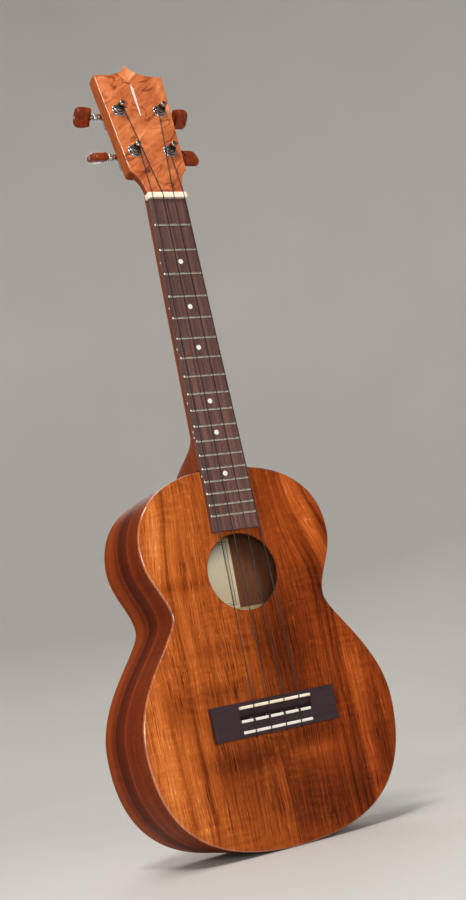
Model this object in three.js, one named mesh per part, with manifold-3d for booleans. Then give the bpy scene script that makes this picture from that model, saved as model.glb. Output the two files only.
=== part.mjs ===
// A tenor ukulele, upright: neck along +Z, front towards -Y, treble side towards +X. Units are mm.
// Heights below are measured from the front edge of the nut; the finished part is lowered so that
// the origin lies where a wall hanger's yoke carries the headstock.
import * as THREE from "three";
import { mergeVertices } from "three/addons/utils/BufferGeometryUtils.js";
import Module from "manifold-3d";

const wasm = await Module();
wasm.setup();

// ---- driving dimensions ----
const SCALE = 432; // nut to saddle, before compensation
const FRETS = 18;
const HANGER_ABOVE_NUT = 18;
const GAP = 0.3; // left between pieces that are glued or seated

// Body
const BODY_TOP = -238.9;
const BODY_BOTTOM = -547.5;
const PLATE = 2.4; // soundboard and back thickness
const SIDE = 2.0; // bent side thickness
const DEPTH_AT_NECK = 75;
const DEPTH_AT_TAIL = 89;
const UPPER_BOUT = { half: 87.4, z: -300.3 };
const WAIST = { half: 70.2, z: -355.3 };
const LOWER_BOUT = { half: 113.7, z: -449.5 };
const SOUND_HOLE = { radius: 32, z: -326.8, sides: 56 };

// Fingerboard and frets
const BOARD_FRONT = -4.4;
const BOARD_END = -292.4;
const BOARD_HALF_AT_NUT = 17.56;
const BOARD_HALF_AT_LAST_FRET = 21.43;
const FRET_SLOT = { width: 0.9, depth: 1.7 };

// Nut, saddle and bridge
const NUT = { half: 18.8, length: 5, front: -7.6, rounding: 2.2 };
const NUT_STRINGS = [-14.9, -5.1, 5.1, 14.9];
const SADDLE_STRINGS = [-20.8, -6.9, 6.9, 20.8];
const NUT_STRING_Y = -7.1;
const SADDLE_STRING_Y = -10.5;
const BRIDGE = { half: 56, top: -430, bottom: -457.6, front: -6.2, seat: -0.2 };
const SADDLE = { half: 32, z: -434.4, thick: 2.4, foot: -2.8, front: -9.9 };
const STRIPS = [
  { name: "tie_strip_upper", z: -445.0 },
  { name: "tie_strip_lower", z: -453.7 },
];
const STRIP = { half: 31.8, width: 2.2, back: -4.9, front: -6.5 };
const STRING_RADIUS = 0.42;

// Headstock
const HEAD_TILT = THREE.MathUtils.degToRad(11.67);
const HEAD_BASE = new THREE.Vector3(0, -4.16, 4); // a point of its front plane, on the centre line
const HEAD_THICK = 14;
const VENEER = 1.6;
const HEAD = {
  neck: 17.5,
  start: 1.7,
  sweep: { x: 18.6, up: 18.5 }, // what the concave edge between neck and shoulder bends towards
  shoulder: { x: 27, up: 26, rounding: 0.9 },
  corner: { x: 33.2, up: 129 },
  dip: { x: 8, up: 127 }, // what either half of the top edge bends towards
  peak: 140.8,
};
const POSTS = [
  { name: "tuner_1", x: -17, up: 45.8, knob: 118, string: 0 },
  { name: "tuner_2", x: -19.8, up: 89.5, knob: 58, string: 1 },
  { name: "tuner_3", x: 19.8, up: 89.5, knob: 62, string: 2 },
  { name: "tuner_4", x: 17, up: 45.8, knob: -18, string: 3 },
];

// Tuning machine, in its own axes: x out along the button shaft, y up the headstock, z to the front
const GEAR_TEETH = 14;
const GEAR_MODULE = 0.5;
const GEAR_RADIUS = (GEAR_TEETH * GEAR_MODULE) / 2;
const WORM_PITCH = Math.PI * GEAR_MODULE;
const SHAFT = { y: 5.8, z: -17.65, radius: 1.65 };
const POST_RADIUS = 3.2;
const POST_WAIST = { radius: 2.3, from: 3.9, to: 8.8 };
const BUTTON = { start: 20, length: 15.5, half: 9.4 };

// ---- colours ----
const LOOKS = {
  koa_top: { color: 0xb0622c, roughness: 0.35, metalness: 0 },
  koa_side: { color: 0x7a3418, roughness: 0.3, metalness: 0 },
  mahogany: { color: 0x8a4520, roughness: 0.35, metalness: 0 },
  veneer: { color: 0xb3602f, roughness: 0.3, metalness: 0 },
  rosewood: { color: 0x3a2420, roughness: 0.55, metalness: 0 },
  bone: { color: 0xf1e8cf, roughness: 0.4, metalness: 0 },
  spruce: { color: 0xd9c59a, roughness: 0.7, metalness: 0 },
  paper: { color: 0xe6dcb8, roughness: 0.8, metalness: 0 },
  chrome: { color: 0xc9c9cc, roughness: 0.12, metalness: 1 },
  nickel_silver: { color: 0xcfcabb, roughness: 0.25, metalness: 1 },
  nylon: { color: 0x1d1c1e, roughness: 0.45, metalness: 0 },
};

// ---- groups ----
const part = new THREE.Group();
part.name = "tenor_ukulele";

// Everything is drawn from the nut's front edge, and this group lowers it to the hanger.
const instrument = new THREE.Group();
instrument.position.z = -HANGER_ABOVE_NUT;
part.add(instrument);

// Axes of the headstock: x across, y up along its face, z out of its front.
const headstock = new THREE.Group();
headstock.position.copy(HEAD_BASE);
headstock.rotation.x = Math.PI / 2 - HEAD_TILT;
headstock.updateMatrix();
instrument.add(headstock);

function add(parent, name, geometry, look) {
  const plain = geometry.index ? geometry.toNonIndexed() : geometry;
  plain.deleteAttribute("uv");
  plain.computeVertexNormals();
  const mesh = new THREE.Mesh(plain, new THREE.MeshStandardMaterial(LOOKS[look]));
  mesh.name = name;
  parent.add(mesh);
  return mesh;
}

// ---- solid helpers ----
function solidOf(geometry) {
  const bare = geometry.index ? geometry.toNonIndexed() : geometry.clone();
  bare.deleteAttribute("normal");
  bare.deleteAttribute("uv");
  const merged = mergeVertices(bare, 1e-4);
  return new wasm.Manifold(
    new wasm.Mesh({
      numProp: 3,
      vertProperties: new Float32Array(merged.getAttribute("position").array),
      triVerts: new Uint32Array(merged.index.array),
    }),
  );
}

function geometryOf(solid) {
  const mesh = solid.getMesh();
  const geometry = new THREE.BufferGeometry();
  geometry.setAttribute("position", new THREE.BufferAttribute(new Float32Array(mesh.vertProperties), 3));
  geometry.setIndex(new THREE.BufferAttribute(new Uint32Array(mesh.triVerts), 1));
  return geometry;
}

function joined(...geometries) {
  return geometryOf(geometries.map(solidOf).reduce((all, next) => all.add(next)));
}

function cut(geometry, ...tools) {
  return geometryOf(tools.map(solidOf).reduce((all, next) => all.subtract(next), solidOf(geometry)));
}

function reshaped(geometry, change) {
  const position = geometry.getAttribute("position");
  const point = new THREE.Vector3();
  for (let i = 0; i < position.count; i++) {
    point.fromBufferAttribute(position, i);
    change(point);
    position.setXYZ(i, point.x, point.y, point.z);
  }
  return geometry;
}

function box(x, y, z) {
  return new THREE.BoxGeometry(x[1] - x[0], y[1] - y[0], z[1] - z[0]).translate(
    (x[0] + x[1]) / 2,
    (y[0] + y[1]) / 2,
    (z[0] + z[1]) / 2,
  );
}

// A shape drawn in x and z, made solid from y0 at the front to y1 at the back.
function plate(shape, y0, y1) {
  const settings = { depth: y1 - y0, bevelEnabled: false, curveSegments: 12 };
  return new THREE.ExtrudeGeometry(shape, settings).rotateX(Math.PI / 2).translate(0, y1, 0);
}

// A shape drawn in z (across) and y (up), made solid from x0 to x1.
function across(shape, x0, x1) {
  const settings = { depth: x1 - x0, bevelEnabled: false, curveSegments: 6 };
  return new THREE.ExtrudeGeometry(shape, settings).rotateY(-Math.PI / 2).translate(x1, 0, 0);
}

function rodX(radius, x0, x1, sides = 24) {
  return new THREE.CylinderGeometry(radius, radius, x1 - x0, sides)
    .rotateZ(Math.PI / 2)
    .translate((x0 + x1) / 2, 0, 0);
}

function rodZ(radius, z0, z1, sides = 24) {
  return new THREE.CylinderGeometry(radius, radius, z1 - z0, sides)
    .rotateX(Math.PI / 2)
    .translate(0, 0, (z0 + z1) / 2);
}

const shapeOf = (points) => new THREE.Shape(points.map(([x, y]) => new THREE.Vector2(x, y)));

// ---- body ----
const depthAt = (z) =>
  THREE.MathUtils.mapLinear(z, BODY_TOP, BODY_BOTTOM, DEPTH_AT_NECK, DEPTH_AT_TAIL);
const innerBack = (z) => depthAt(z) - PLATE;

// Half outline from the neck end round to the tail, each span with a handle length at either end.
const SPANS = [
  { from: [0, BODY_TOP], out: [62, 0], to: [UPPER_BOUT.half, UPPER_BOUT.z], back: [0, 34.7] },
  {
    from: [UPPER_BOUT.half, UPPER_BOUT.z],
    out: [0, -23.2],
    to: [WAIST.half, WAIST.z],
    back: [0, 17.2],
  },
  {
    from: [WAIST.half, WAIST.z],
    out: [0, -16],
    to: [LOWER_BOUT.half, LOWER_BOUT.z],
    back: [0, 44],
  },
  { from: [LOWER_BOUT.half, LOWER_BOUT.z], out: [0, -68.9], to: [0, BODY_BOTTOM], back: [73.4, 0] },
];
const SPAN_STEPS = 11;

function halfOutline(inset = 0) {
  const line = [];
  SPANS.forEach(({ from, out, to, back }, index) => {
    const curve = new THREE.CubicBezierCurve(
      new THREE.Vector2(...from),
      new THREE.Vector2(from[0] + out[0], from[1] + out[1]),
      new THREE.Vector2(to[0] + back[0], to[1] + back[1]),
      new THREE.Vector2(...to),
    );
    for (let i = index ? 1 : 0; i <= SPAN_STEPS; i++) {
      const at = curve.getPoint(i / SPAN_STEPS);
      const along = curve.getTangent(i / SPAN_STEPS);
      line.push([at.x + along.y * inset, at.y - along.x * inset]);
    }
  });
  return line;
}

function wholeOutline(inset = 0) {
  const half = halfOutline(inset);
  const other = half.slice(1, -1).reverse();
  return [...half, ...other.map(([x, z]) => [-x, z])];
}

// Moves whatever lies behind the middle of a solid so that its rear face follows y = rear(z).
function slopedRear(geometry, middle, rear) {
  return reshaped(geometry, (p) => {
    if (p.y > middle) p.y = rear(p.z);
  });
}

const soundboardShape = shapeOf(wholeOutline());
const ring = Array.from({ length: SOUND_HOLE.sides }, (_, i) => {
  const angle = (2 * Math.PI * i) / SOUND_HOLE.sides;
  return new THREE.Vector2(
    SOUND_HOLE.radius * Math.cos(angle),
    SOUND_HOLE.z + SOUND_HOLE.radius * Math.sin(angle),
  );
});
soundboardShape.holes.push(new THREE.Path(ring));
add(instrument, "soundboard", plate(soundboardShape, 0, PLATE), "koa_top");

const backPlate = reshaped(plate(shapeOf(wholeOutline()), 0, PLATE), (p) => {
  p.y += innerBack(p.z);
});
add(instrument, "back", backPlate, "koa_side");

const SEAM = GAP / 2;
function sideStrip() {
  const outer = halfOutline();
  const inner = halfOutline(SIDE);
  const edge = [...outer, ...inner.reverse()].map(([x, z]) => [Math.max(x, SEAM), z]);
  const strip = plate(shapeOf(edge), PLATE + GAP, DEPTH_AT_TAIL);
  return slopedRear(strip, DEPTH_AT_TAIL / 2, (z) => innerBack(z) - GAP);
}
add(instrument, "treble_side", sideStrip(), "koa_side");
add(instrument, "bass_side", sideStrip(), "koa_side").scale.x = -1;

function block(half, z) {
  const solid = box([-half, half], [PLATE + GAP, DEPTH_AT_TAIL], z);
  return slopedRear(solid, DEPTH_AT_TAIL / 2, (height) => innerBack(height) - GAP);
}
const HEAD_BLOCK = { half: 28, deep: 25, clear: 2.6 }; // clear: left to the bent side
const TAIL_BLOCK = { half: 26, deep: 13, clear: 1.9 };
const BLOCK_TOP = BODY_TOP - SIDE - HEAD_BLOCK.clear;
const BLOCK_BOTTOM = BODY_BOTTOM + SIDE + TAIL_BLOCK.clear;
add(instrument, "head_block", block(HEAD_BLOCK.half, [BLOCK_TOP - HEAD_BLOCK.deep, BLOCK_TOP]), "mahogany");
const tailBlock = block(TAIL_BLOCK.half, [BLOCK_BOTTOM, BLOCK_BOTTOM + TAIL_BLOCK.deep]);
add(instrument, "tail_block", tailBlock, "mahogany");

// Braces under the soundboard: two cross bars tied by rails beside the sound hole, and a fan below.
const BRACE_FRONT = PLATE + GAP;
const BARS = [
  { half: 76, z: -285 },
  { half: 66, z: -370 },
];
const BAR = { width: 7, deep: 7 };
const RAIL = { x: 40.5, width: 5, deep: 5 };
const FAN = { spacing: 24, end: -524, angle: 9 };
function topBracing() {
  const [upper, lower] = BARS;
  const thin = [BRACE_FRONT, BRACE_FRONT + RAIL.deep];
  const bars = BARS.map(({ half, z }) =>
    box([-half, half], [BRACE_FRONT, BRACE_FRONT + BAR.deep], [z - BAR.width / 2, z + BAR.width / 2]),
  );
  const rails = [-RAIL.x, RAIL.x].map((x) =>
    box([x - RAIL.width / 2, x + RAIL.width / 2], thin, [lower.z, upper.z]),
  );
  const struts = [-1, 0, 1].map((side) =>
    box([-RAIL.width / 2, RAIL.width / 2], thin, [FAN.end - lower.z, 0])
      .rotateY(THREE.MathUtils.degToRad(-FAN.angle * side))
      .translate(side * FAN.spacing, 0, lower.z),
  );
  return joined(...bars, ...rails, ...struts);
}
add(instrument, "top_bracing", topBracing(), "spruce");

const BACK_BRACES = [
  { name: "back_brace_waist", half: 62, z: [-357.8, -349.8] },
  { name: "back_brace_lower", half: 104, z: [-463, -455] },
];
const BACK_BRACE_DEEP = 9;
for (const { name, half, z } of BACK_BRACES) {
  const bar = reshaped(box([-half, half], [-BACK_BRACE_DEEP, 0], z), (p) => {
    p.y += innerBack(p.z) - GAP;
  });
  add(instrument, name, bar, "spruce");
}

const LABEL = { half: 31, top: -287, bottom: -349.3, thick: 0.3 };
const label = box([-LABEL.half, LABEL.half], [-LABEL.thick, 0], [LABEL.bottom, LABEL.top]);
add(instrument, "label", reshaped(label, (p) => (p.y += innerBack(p.z) - GAP)), "paper");

// ---- fingerboard, frets and nut ----
const fretZ = (n) => -SCALE * (1 - 2 ** (-n / 12));
const boardHalf = (z) =>
  THREE.MathUtils.mapLinear(z, 0, fretZ(FRETS), BOARD_HALF_AT_NUT, BOARD_HALF_AT_LAST_FRET);

function fingerboard() {
  const profile = [
    [-GAP, -GAP],
    [-GAP, BOARD_FRONT],
  ];
  const half = FRET_SLOT.width / 2;
  const floor = BOARD_FRONT + FRET_SLOT.depth;
  for (let n = 1; n <= FRETS; n++) {
    const z = fretZ(n);
    profile.push([z + half, BOARD_FRONT], [z + half, floor], [z - half, floor], [z - half, BOARD_FRONT]);
  }
  profile.push([BOARD_END, BOARD_FRONT], [BOARD_END, -GAP]);
  return reshaped(across(shapeOf(profile), -1, 1), (p) => {
    p.x *= boardHalf(p.z);
  });
}
add(instrument, "fingerboard", fingerboard(), "rosewood");

// Fret section: a domed crown over the board and a thin tang in its slot.
const FRET = { seat: 0.12, high: 1.0, half: 1.15, tang: 0.25, tangDepth: 1.4, inset: 0.35, bevel: 0.5 };
function fret(n) {
  const z = fretZ(n);
  const base = BOARD_FRONT - FRET.seat;
  const profile = [
    [z + FRET.tang, base],
    [z + FRET.tang, BOARD_FRONT + FRET.tangDepth],
    [z - FRET.tang, BOARD_FRONT + FRET.tangDepth],
    [z - FRET.tang, base],
  ];
  for (let i = 0; i <= 6; i++) {
    const turn = (Math.PI * i) / 6;
    profile.push([z - FRET.half * Math.cos(turn), base - FRET.high * Math.sin(turn)]);
  }
  return reshaped(across(shapeOf(profile), -1, 1), (p) => {
    const bevel = Math.max(base - p.y, 0) * FRET.bevel;
    p.x *= boardHalf(z) - FRET.inset - bevel;
  });
}
for (let n = 1; n <= FRETS; n++) {
  add(instrument, `fret_${String(n).padStart(2, "0")}`, fret(n), "nickel_silver");
}

// The nut: rounded ends, and a notch for each string.
const NOTCH = { half: 0.6, floor: NUT_STRING_Y + STRING_RADIUS + 0.1 };
function nut() {
  const { half, front, rounding, length } = NUT;
  const shape = new THREE.Shape();
  shape.moveTo(-half, -GAP);
  shape.lineTo(-half, front + rounding);
  shape.quadraticCurveTo(-half, front, -half + rounding, front);
  for (const x of NUT_STRINGS) {
    shape.lineTo(x - NOTCH.half, front);
    shape.lineTo(x - NOTCH.half, NOTCH.floor);
    shape.lineTo(x + NOTCH.half, NOTCH.floor);
    shape.lineTo(x + NOTCH.half, front);
  }
  shape.lineTo(half - rounding, front);
  shape.quadraticCurveTo(half, front, half, front + rounding);
  shape.lineTo(half, -GAP);
  return new THREE.ExtrudeGeometry(shape, { depth: length, bevelEnabled: false, curveSegments: 4 });
}
add(instrument, "nut", nut(), "bone");

// ---- bridge ----
const TIE_WALL = -443.5; // front face of the block the strings are tied to
const TIE_HOLE = { radius: 0.9, y: -3.1 };
const SLOT_CLEAR = 0.25;
const RAMP = { below: 2.2, start: 0.3, foot: -1.9, beyond: 1 }; // how the strings' ramp leaves the saddle
function bridge() {
  const body = box(
    [-BRIDGE.half, BRIDGE.half],
    [BRIDGE.front, BRIDGE.seat],
    [BRIDGE.bottom, BRIDGE.top],
  );
  const slotHalf = SADDLE.thick / 2 + SLOT_CLEAR;
  const saddleSlot = box(
    [-SADDLE.half - SLOT_CLEAR, SADDLE.half + SLOT_CLEAR],
    [BRIDGE.front - 1, SADDLE.foot + SLOT_CLEAR],
    [SADDLE.z - slotHalf, SADDLE.z + slotHalf],
  );
  const ramp = across(
    shapeOf([
      [SADDLE.z - RAMP.below, BRIDGE.front - 1],
      [SADDLE.z - RAMP.below, BRIDGE.front + RAMP.start],
      [TIE_WALL, RAMP.foot],
      [TIE_WALL, BRIDGE.front - 1],
    ]),
    -STRIP.half - RAMP.beyond,
    STRIP.half + RAMP.beyond,
  );
  const rebates = STRIPS.map(({ z }) =>
    box(
      [-STRIP.half - SLOT_CLEAR, STRIP.half + SLOT_CLEAR],
      [BRIDGE.front - 1, STRIP.back + SLOT_CLEAR],
      [z - STRIP.width / 2 - SLOT_CLEAR, z + STRIP.width / 2 + SLOT_CLEAR],
    ),
  );
  const holes = SADDLE_STRINGS.map((x) =>
    rodZ(TIE_HOLE.radius, BRIDGE.bottom - 1, TIE_WALL + 1, 10).translate(x, TIE_HOLE.y, 0),
  );
  return cut(body, saddleSlot, ramp, ...rebates, ...holes);
}
add(instrument, "bridge", bridge(), "rosewood");

const SADDLE_CROWN = 0.9;
function saddle() {
  const half = SADDLE.thick / 2;
  const profile = shapeOf([
    [SADDLE.z + half, SADDLE.foot],
    [SADDLE.z - half, SADDLE.foot],
    [SADDLE.z - half, SADDLE.front + SADDLE_CROWN],
    [SADDLE.z - half / 2, SADDLE.front + SADDLE_CROWN / 4],
    [SADDLE.z, SADDLE.front],
    [SADDLE.z + half / 2, SADDLE.front + SADDLE_CROWN / 4],
    [SADDLE.z + half, SADDLE.front + SADDLE_CROWN],
  ]);
  return across(profile, -SADDLE.half, SADDLE.half);
}
add(instrument, "saddle", saddle(), "bone");

for (const { name, z } of STRIPS) {
  const bar = box(
    [-STRIP.half, STRIP.half],
    [STRIP.front, STRIP.back],
    [z - STRIP.width / 2, z + STRIP.width / 2],
  );
  add(instrument, name, bar, "bone");
}

// ---- neck and headstock ----
const { shoulder } = HEAD;
const EAR = new THREE.Vector2(shoulder.x - shoulder.rounding, shoulder.up - shoulder.rounding);

// The outline above the shoulders, to which the headplate adds the sweeps down to the nut.
function aboveShoulders(shape) {
  const { corner, dip, peak } = HEAD;
  const near = shoulder.rounding;
  shape.quadraticCurveTo(shoulder.x, shoulder.up, shoulder.x + near / 9, shoulder.up + near * 2);
  shape.lineTo(corner.x, corner.up);
  shape.quadraticCurveTo(dip.x, dip.up, 0, peak);
  shape.quadraticCurveTo(-dip.x, dip.up, -corner.x, corner.up);
  shape.lineTo(-shoulder.x - near / 9, shoulder.up + near * 2);
  shape.quadraticCurveTo(-shoulder.x, shoulder.up, -EAR.x, EAR.y);
}

function plateOutline() {
  const { neck, start, sweep } = HEAD;
  const shape = new THREE.Shape();
  shape.moveTo(neck, start);
  shape.quadraticCurveTo(sweep.x, sweep.up, EAR.x, EAR.y);
  aboveShoulders(shape);
  shape.quadraticCurveTo(-sweep.x, sweep.up, -neck, start);
  return shape;
}

function slabOutline() {
  const shape = new THREE.Shape();
  shape.moveTo(EAR.x, EAR.y);
  aboveShoulders(shape);
  return shape;
}

// A layer of the headstock in its own axes, bored for the posts' sleeves.
const SLEEVE_HOLE = 4.4;
function headLayer(outline, from, to) {
  const settings = { depth: to - from, bevelEnabled: false, curveSegments: 7 };
  const slab = new THREE.ExtrudeGeometry(outline, settings).translate(0, 0, from);
  const bores = POSTS.map(({ x, up }) => rodZ(SLEEVE_HOLE, from - 1, to + 1, 20).translate(x, up, 0));
  return cut(slab, ...bores);
}
add(headstock, "headplate", headLayer(plateOutline(), -VENEER, 0), "veneer");

// The shaft and heel, as sections across the neck. Each has a flat front and a rounded rear.
const NECK_TOP = 30;
const NECK_END = BODY_TOP + GAP;
const SHAFT_DEPTH = 14;
const SHAFT_DEEPENS = 0.008; // mm per mm towards the body
const SHAFT_ROUNDNESS = 2.5; // exponent of the section's superellipse
const HEEL = { rear: 70, from: -209, to: -236, step: 3.8 };
const HEAD_START = -4; // where the shaft's rear begins to run into the headstock's
const woodFront = (z) =>
  HEAD_BASE.y + (VENEER + GAP) / Math.cos(HEAD_TILT) + (z - HEAD_BASE.z) * Math.tan(HEAD_TILT);
function neckRear(z) {
  const head = THREE.MathUtils.smoothstep(z, HEAD_START, NECK_TOP);
  const heel = THREE.MathUtils.smoothstep(-z, -HEEL.from, -HEEL.to);
  const shaft = SHAFT_DEPTH - z * SHAFT_DEEPENS;
  const headRear = woodFront(NECK_TOP) + HEAD_THICK - VENEER - 2;
  return THREE.MathUtils.lerp(THREE.MathUtils.lerp(shaft, headRear, head), HEEL.rear + 4, heel);
}
const sweepLine = new THREE.QuadraticBezierCurve(
  new THREE.Vector2(HEAD.neck, HEAD.start),
  new THREE.Vector2(HEAD.sweep.x, HEAD.sweep.up),
  EAR,
).getPoints(16);
function sweepHalf(z) {
  const up = (z - HEAD_BASE.z) / Math.cos(HEAD_TILT);
  const next = sweepLine.findIndex((point) => point.y >= up);
  if (next < 0) return EAR.x;
  if (next === 0) return HEAD.neck;
  const below = sweepLine[next - 1];
  return THREE.MathUtils.mapLinear(up, below.y, sweepLine[next].y, below.x, sweepLine[next].x);
}
const OVER_THE_NUT = [NUT.length + GAP / 2, NUT.length + GAP * 1.5]; // where the wood rises to the veneer
const WOOD_INSET = 0.05;
function neckShaft() {
  const section = [[1, 0]];
  const turns = 12;
  for (let i = 1; i < turns; i++) {
    const angle = (Math.PI * i) / turns;
    const x = Math.sign(Math.cos(angle)) * Math.abs(Math.cos(angle)) ** (2 / SHAFT_ROUNDNESS);
    section.push([x, Math.sin(angle) ** (2 / SHAFT_ROUNDNESS)]);
  }
  section.push([-1, 0]);
  const [low, high] = OVER_THE_NUT;
  const heights = [NECK_TOP, 27, 24, 21, 18, 15, 12, 9, high, low, 0, -6, -60, -120, -180, -200];
  for (let z = HEEL.from; z > NECK_END; z -= HEEL.step) heights.push(z);
  heights.push(NECK_END);
  heights.reverse();
  const steps = heights.length - 1;
  const loft = new THREE.ExtrudeGeometry(shapeOf(section), { depth: steps, steps, bevelEnabled: false });
  return reshaped(loft, (p) => {
    const z = heights[Math.round(p.z)];
    const onHead = z >= high;
    const front = onHead ? woodFront(z) + WOOD_INSET : 0;
    p.x *= onHead ? sweepHalf(z) - WOOD_INSET : boardHalf(z);
    p.y = Math.min(THREE.MathUtils.lerp(front, neckRear(z), p.y), HEEL.rear);
    p.z = z;
  });
}
const headWood = headLayer(slabOutline(), -HEAD_THICK, -VENEER - GAP).applyMatrix4(headstock.matrix);
add(instrument, "neck", joined(neckShaft(), headWood), "mahogany");

// ---- tuning machines ----
const GEAR = { from: -19.25, to: -16.05, addendum: 0.35, dedendum: 0.5 };
function gearShape() {
  const outer = GEAR_RADIUS + GEAR.addendum;
  const root = GEAR_RADIUS - GEAR.dedendum;
  const points = [];
  const step = (2 * Math.PI) / GEAR_TEETH;
  for (let i = 0; i < GEAR_TEETH; i++) {
    const middle = Math.PI / 2 + (i + 0.5) * step;
    for (const [turn, radius] of [
      [-0.24, root],
      [-0.11, outer],
      [0.11, outer],
      [0.24, root],
    ]) {
      const angle = middle + turn * step;
      points.push([radius * Math.cos(angle), radius * Math.sin(angle)]);
    }
  }
  return shapeOf(points);
}
function stringPost() {
  const outline = [
    [0, -21.25],
    [1.9, -21.25],
    [1.9, -15.65],
    [POST_RADIUS, -15.25],
    [POST_RADIUS, 3.2],
    [POST_WAIST.radius, POST_WAIST.from],
    [POST_WAIST.radius, POST_WAIST.to],
    [2.75, 9.4],
    [2.75, 10.9],
    [1.7, 11.7],
    [0, 11.9],
  ].map(([radius, z]) => new THREE.Vector2(radius, z));
  const turned = new THREE.LatheGeometry(outline, 16).rotateX(Math.PI / 2);
  const wheel = new THREE.ExtrudeGeometry(gearShape(), {
    depth: GEAR.to - GEAR.from,
    bevelEnabled: false,
  }).translate(0, 0, GEAR.from);
  return joined(turned, wheel);
}

const BUSHING = { washer: 6, washerTop: 0.9, hex: 5.3, top: 3, sleeve: 4.1, end: -9, bore: 3.34 };
function bushing() {
  const washer = rodZ(BUSHING.washer, 0.2, BUSHING.washerTop, 20);
  const hex = rodZ(BUSHING.hex, BUSHING.washerTop - 0.1, BUSHING.top, 6);
  const sleeve = rodZ(BUSHING.sleeve, BUSHING.end, 0.4, 16);
  const bore = rodZ(BUSHING.bore, BUSHING.end - 1, BUSHING.top + 1, 20);
  return cut(joined(washer, hex, sleeve), bore);
}

const HOUSING = { half: 7.5, low: -6.8, high: 11.2, rear: -22.75, corner: 2.5 };
const COLLAR = { radius: 3.3, end: 17.4 };
const SHAFT_CLEAR = 0.12;
const POCKET = { gear: 4.5, worm: 2.95, wormHalf: 5.6, floor: -21.75 };
function housing() {
  const { half, low, high, rear, corner } = HOUSING;
  const face = -HEAD_THICK - GAP;
  const outline = new THREE.Shape();
  outline.moveTo(-half + corner, low);
  outline.lineTo(half - corner, low);
  outline.quadraticCurveTo(half, low, half, low + corner);
  outline.lineTo(half, high - corner);
  outline.quadraticCurveTo(half, high, half - corner, high);
  outline.lineTo(-half + corner, high);
  outline.quadraticCurveTo(-half, high, -half, high - corner);
  outline.lineTo(-half, low + corner);
  outline.quadraticCurveTo(-half, low, -half + corner, low);
  const settings = { depth: face - rear, bevelEnabled: false, curveSegments: 3 };
  const body = new THREE.ExtrudeGeometry(outline, settings).translate(0, 0, rear);
  const onShaft = (rod) => rod.translate(0, SHAFT.y, SHAFT.z);
  const collar = onShaft(rodX(COLLAR.radius, half - 1, COLLAR.end, 18));
  const gearPocket = rodZ(POCKET.gear, POCKET.floor, face + 1, 18);
  const wormPocket = onShaft(rodX(POCKET.worm, -POCKET.wormHalf, POCKET.wormHalf, 16));
  const shaftBore = onShaft(rodX(SHAFT.radius + SHAFT_CLEAR, 0, COLLAR.end + 1, 16));
  return cut(joined(body, collar), gearPocket, wormPocket, shaftBore);
}

// A curve whose samples fall on the given points, so that bends are finely and runs coarsely divided.
class Route extends THREE.Curve {
  constructor(points) {
    super();
    this.points = points;
  }
  getPoint(t, target = new THREE.Vector3()) {
    const last = this.points.length - 1;
    const i = Math.min(Math.floor(t * last + 1e-6), last - 1);
    return target.lerpVectors(this.points[i], this.points[i + 1], t * last - i);
  }
  getPointAt(u, target) {
    return this.getPoint(u, target);
  }
  getTangentAt(u, target = new THREE.Vector3()) {
    const last = this.points.length - 1;
    const i = Math.round(u * last);
    const before = this.points[Math.max(i - 1, 0)];
    const after = this.points[Math.min(i + 1, last)];
    const here = this.points[i];
    const incoming = new THREE.Vector3().subVectors(here, before).normalize();
    const outgoing = new THREE.Vector3().subVectors(after, here).normalize();
    return target.addVectors(incoming, outgoing).normalize();
  }
  getSpacedPoints(divisions) {
    return this.getPoints(divisions);
  }
}

function tube(points, radius, sides) {
  const section = [];
  for (let i = 0; i < sides; i++) {
    const angle = (2 * Math.PI * i) / sides;
    section.push([radius * Math.cos(angle), radius * Math.sin(angle)]);
  }
  const settings = { steps: points.length - 1, extrudePath: new Route(points), bevelEnabled: false };
  return new THREE.ExtrudeGeometry(shapeOf(section), settings);
}

// The worm: a core with a helical thread whose crest meets the middle of a tooth gap at rest. It is
// drawn, like the button, about the shaft's own axis.
const WORM = { half: 5.2, core: 1.75, crest: 2.6, turns: 2.4, steps: 10, sunk: 0.1 };
const SHAFT_COLLAR = 2.6;
const SHAFT_IN_BUTTON = 12;
function wormShaft() {
  const core = rodX(WORM.core, -WORM.half, WORM.half, 12);
  const shaft = rodX(SHAFT.radius, WORM.half - WORM.sunk, BUTTON.start + SHAFT_IN_BUTTON, 16);
  const collar = rodX(SHAFT_COLLAR, COLLAR.end + GAP, BUTTON.start - GAP, 16);
  const half = WORM.turns / 2;
  const middle = (WORM.core + WORM.crest) / 2 - WORM.sunk;
  const points = [];
  for (let i = 0; i <= WORM.turns * WORM.steps; i++) {
    const turn = i / WORM.steps - half;
    const angle = 2 * Math.PI * turn;
    points.push(
      new THREE.Vector3(turn * WORM_PITCH, -middle * Math.cos(angle), -middle * Math.sin(angle)),
    );
  }
  const thread = tube(points, (WORM.crest - WORM.core) / 2 + WORM.sunk, 4);
  return joined(core, shaft, collar, thread);
}

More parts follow.
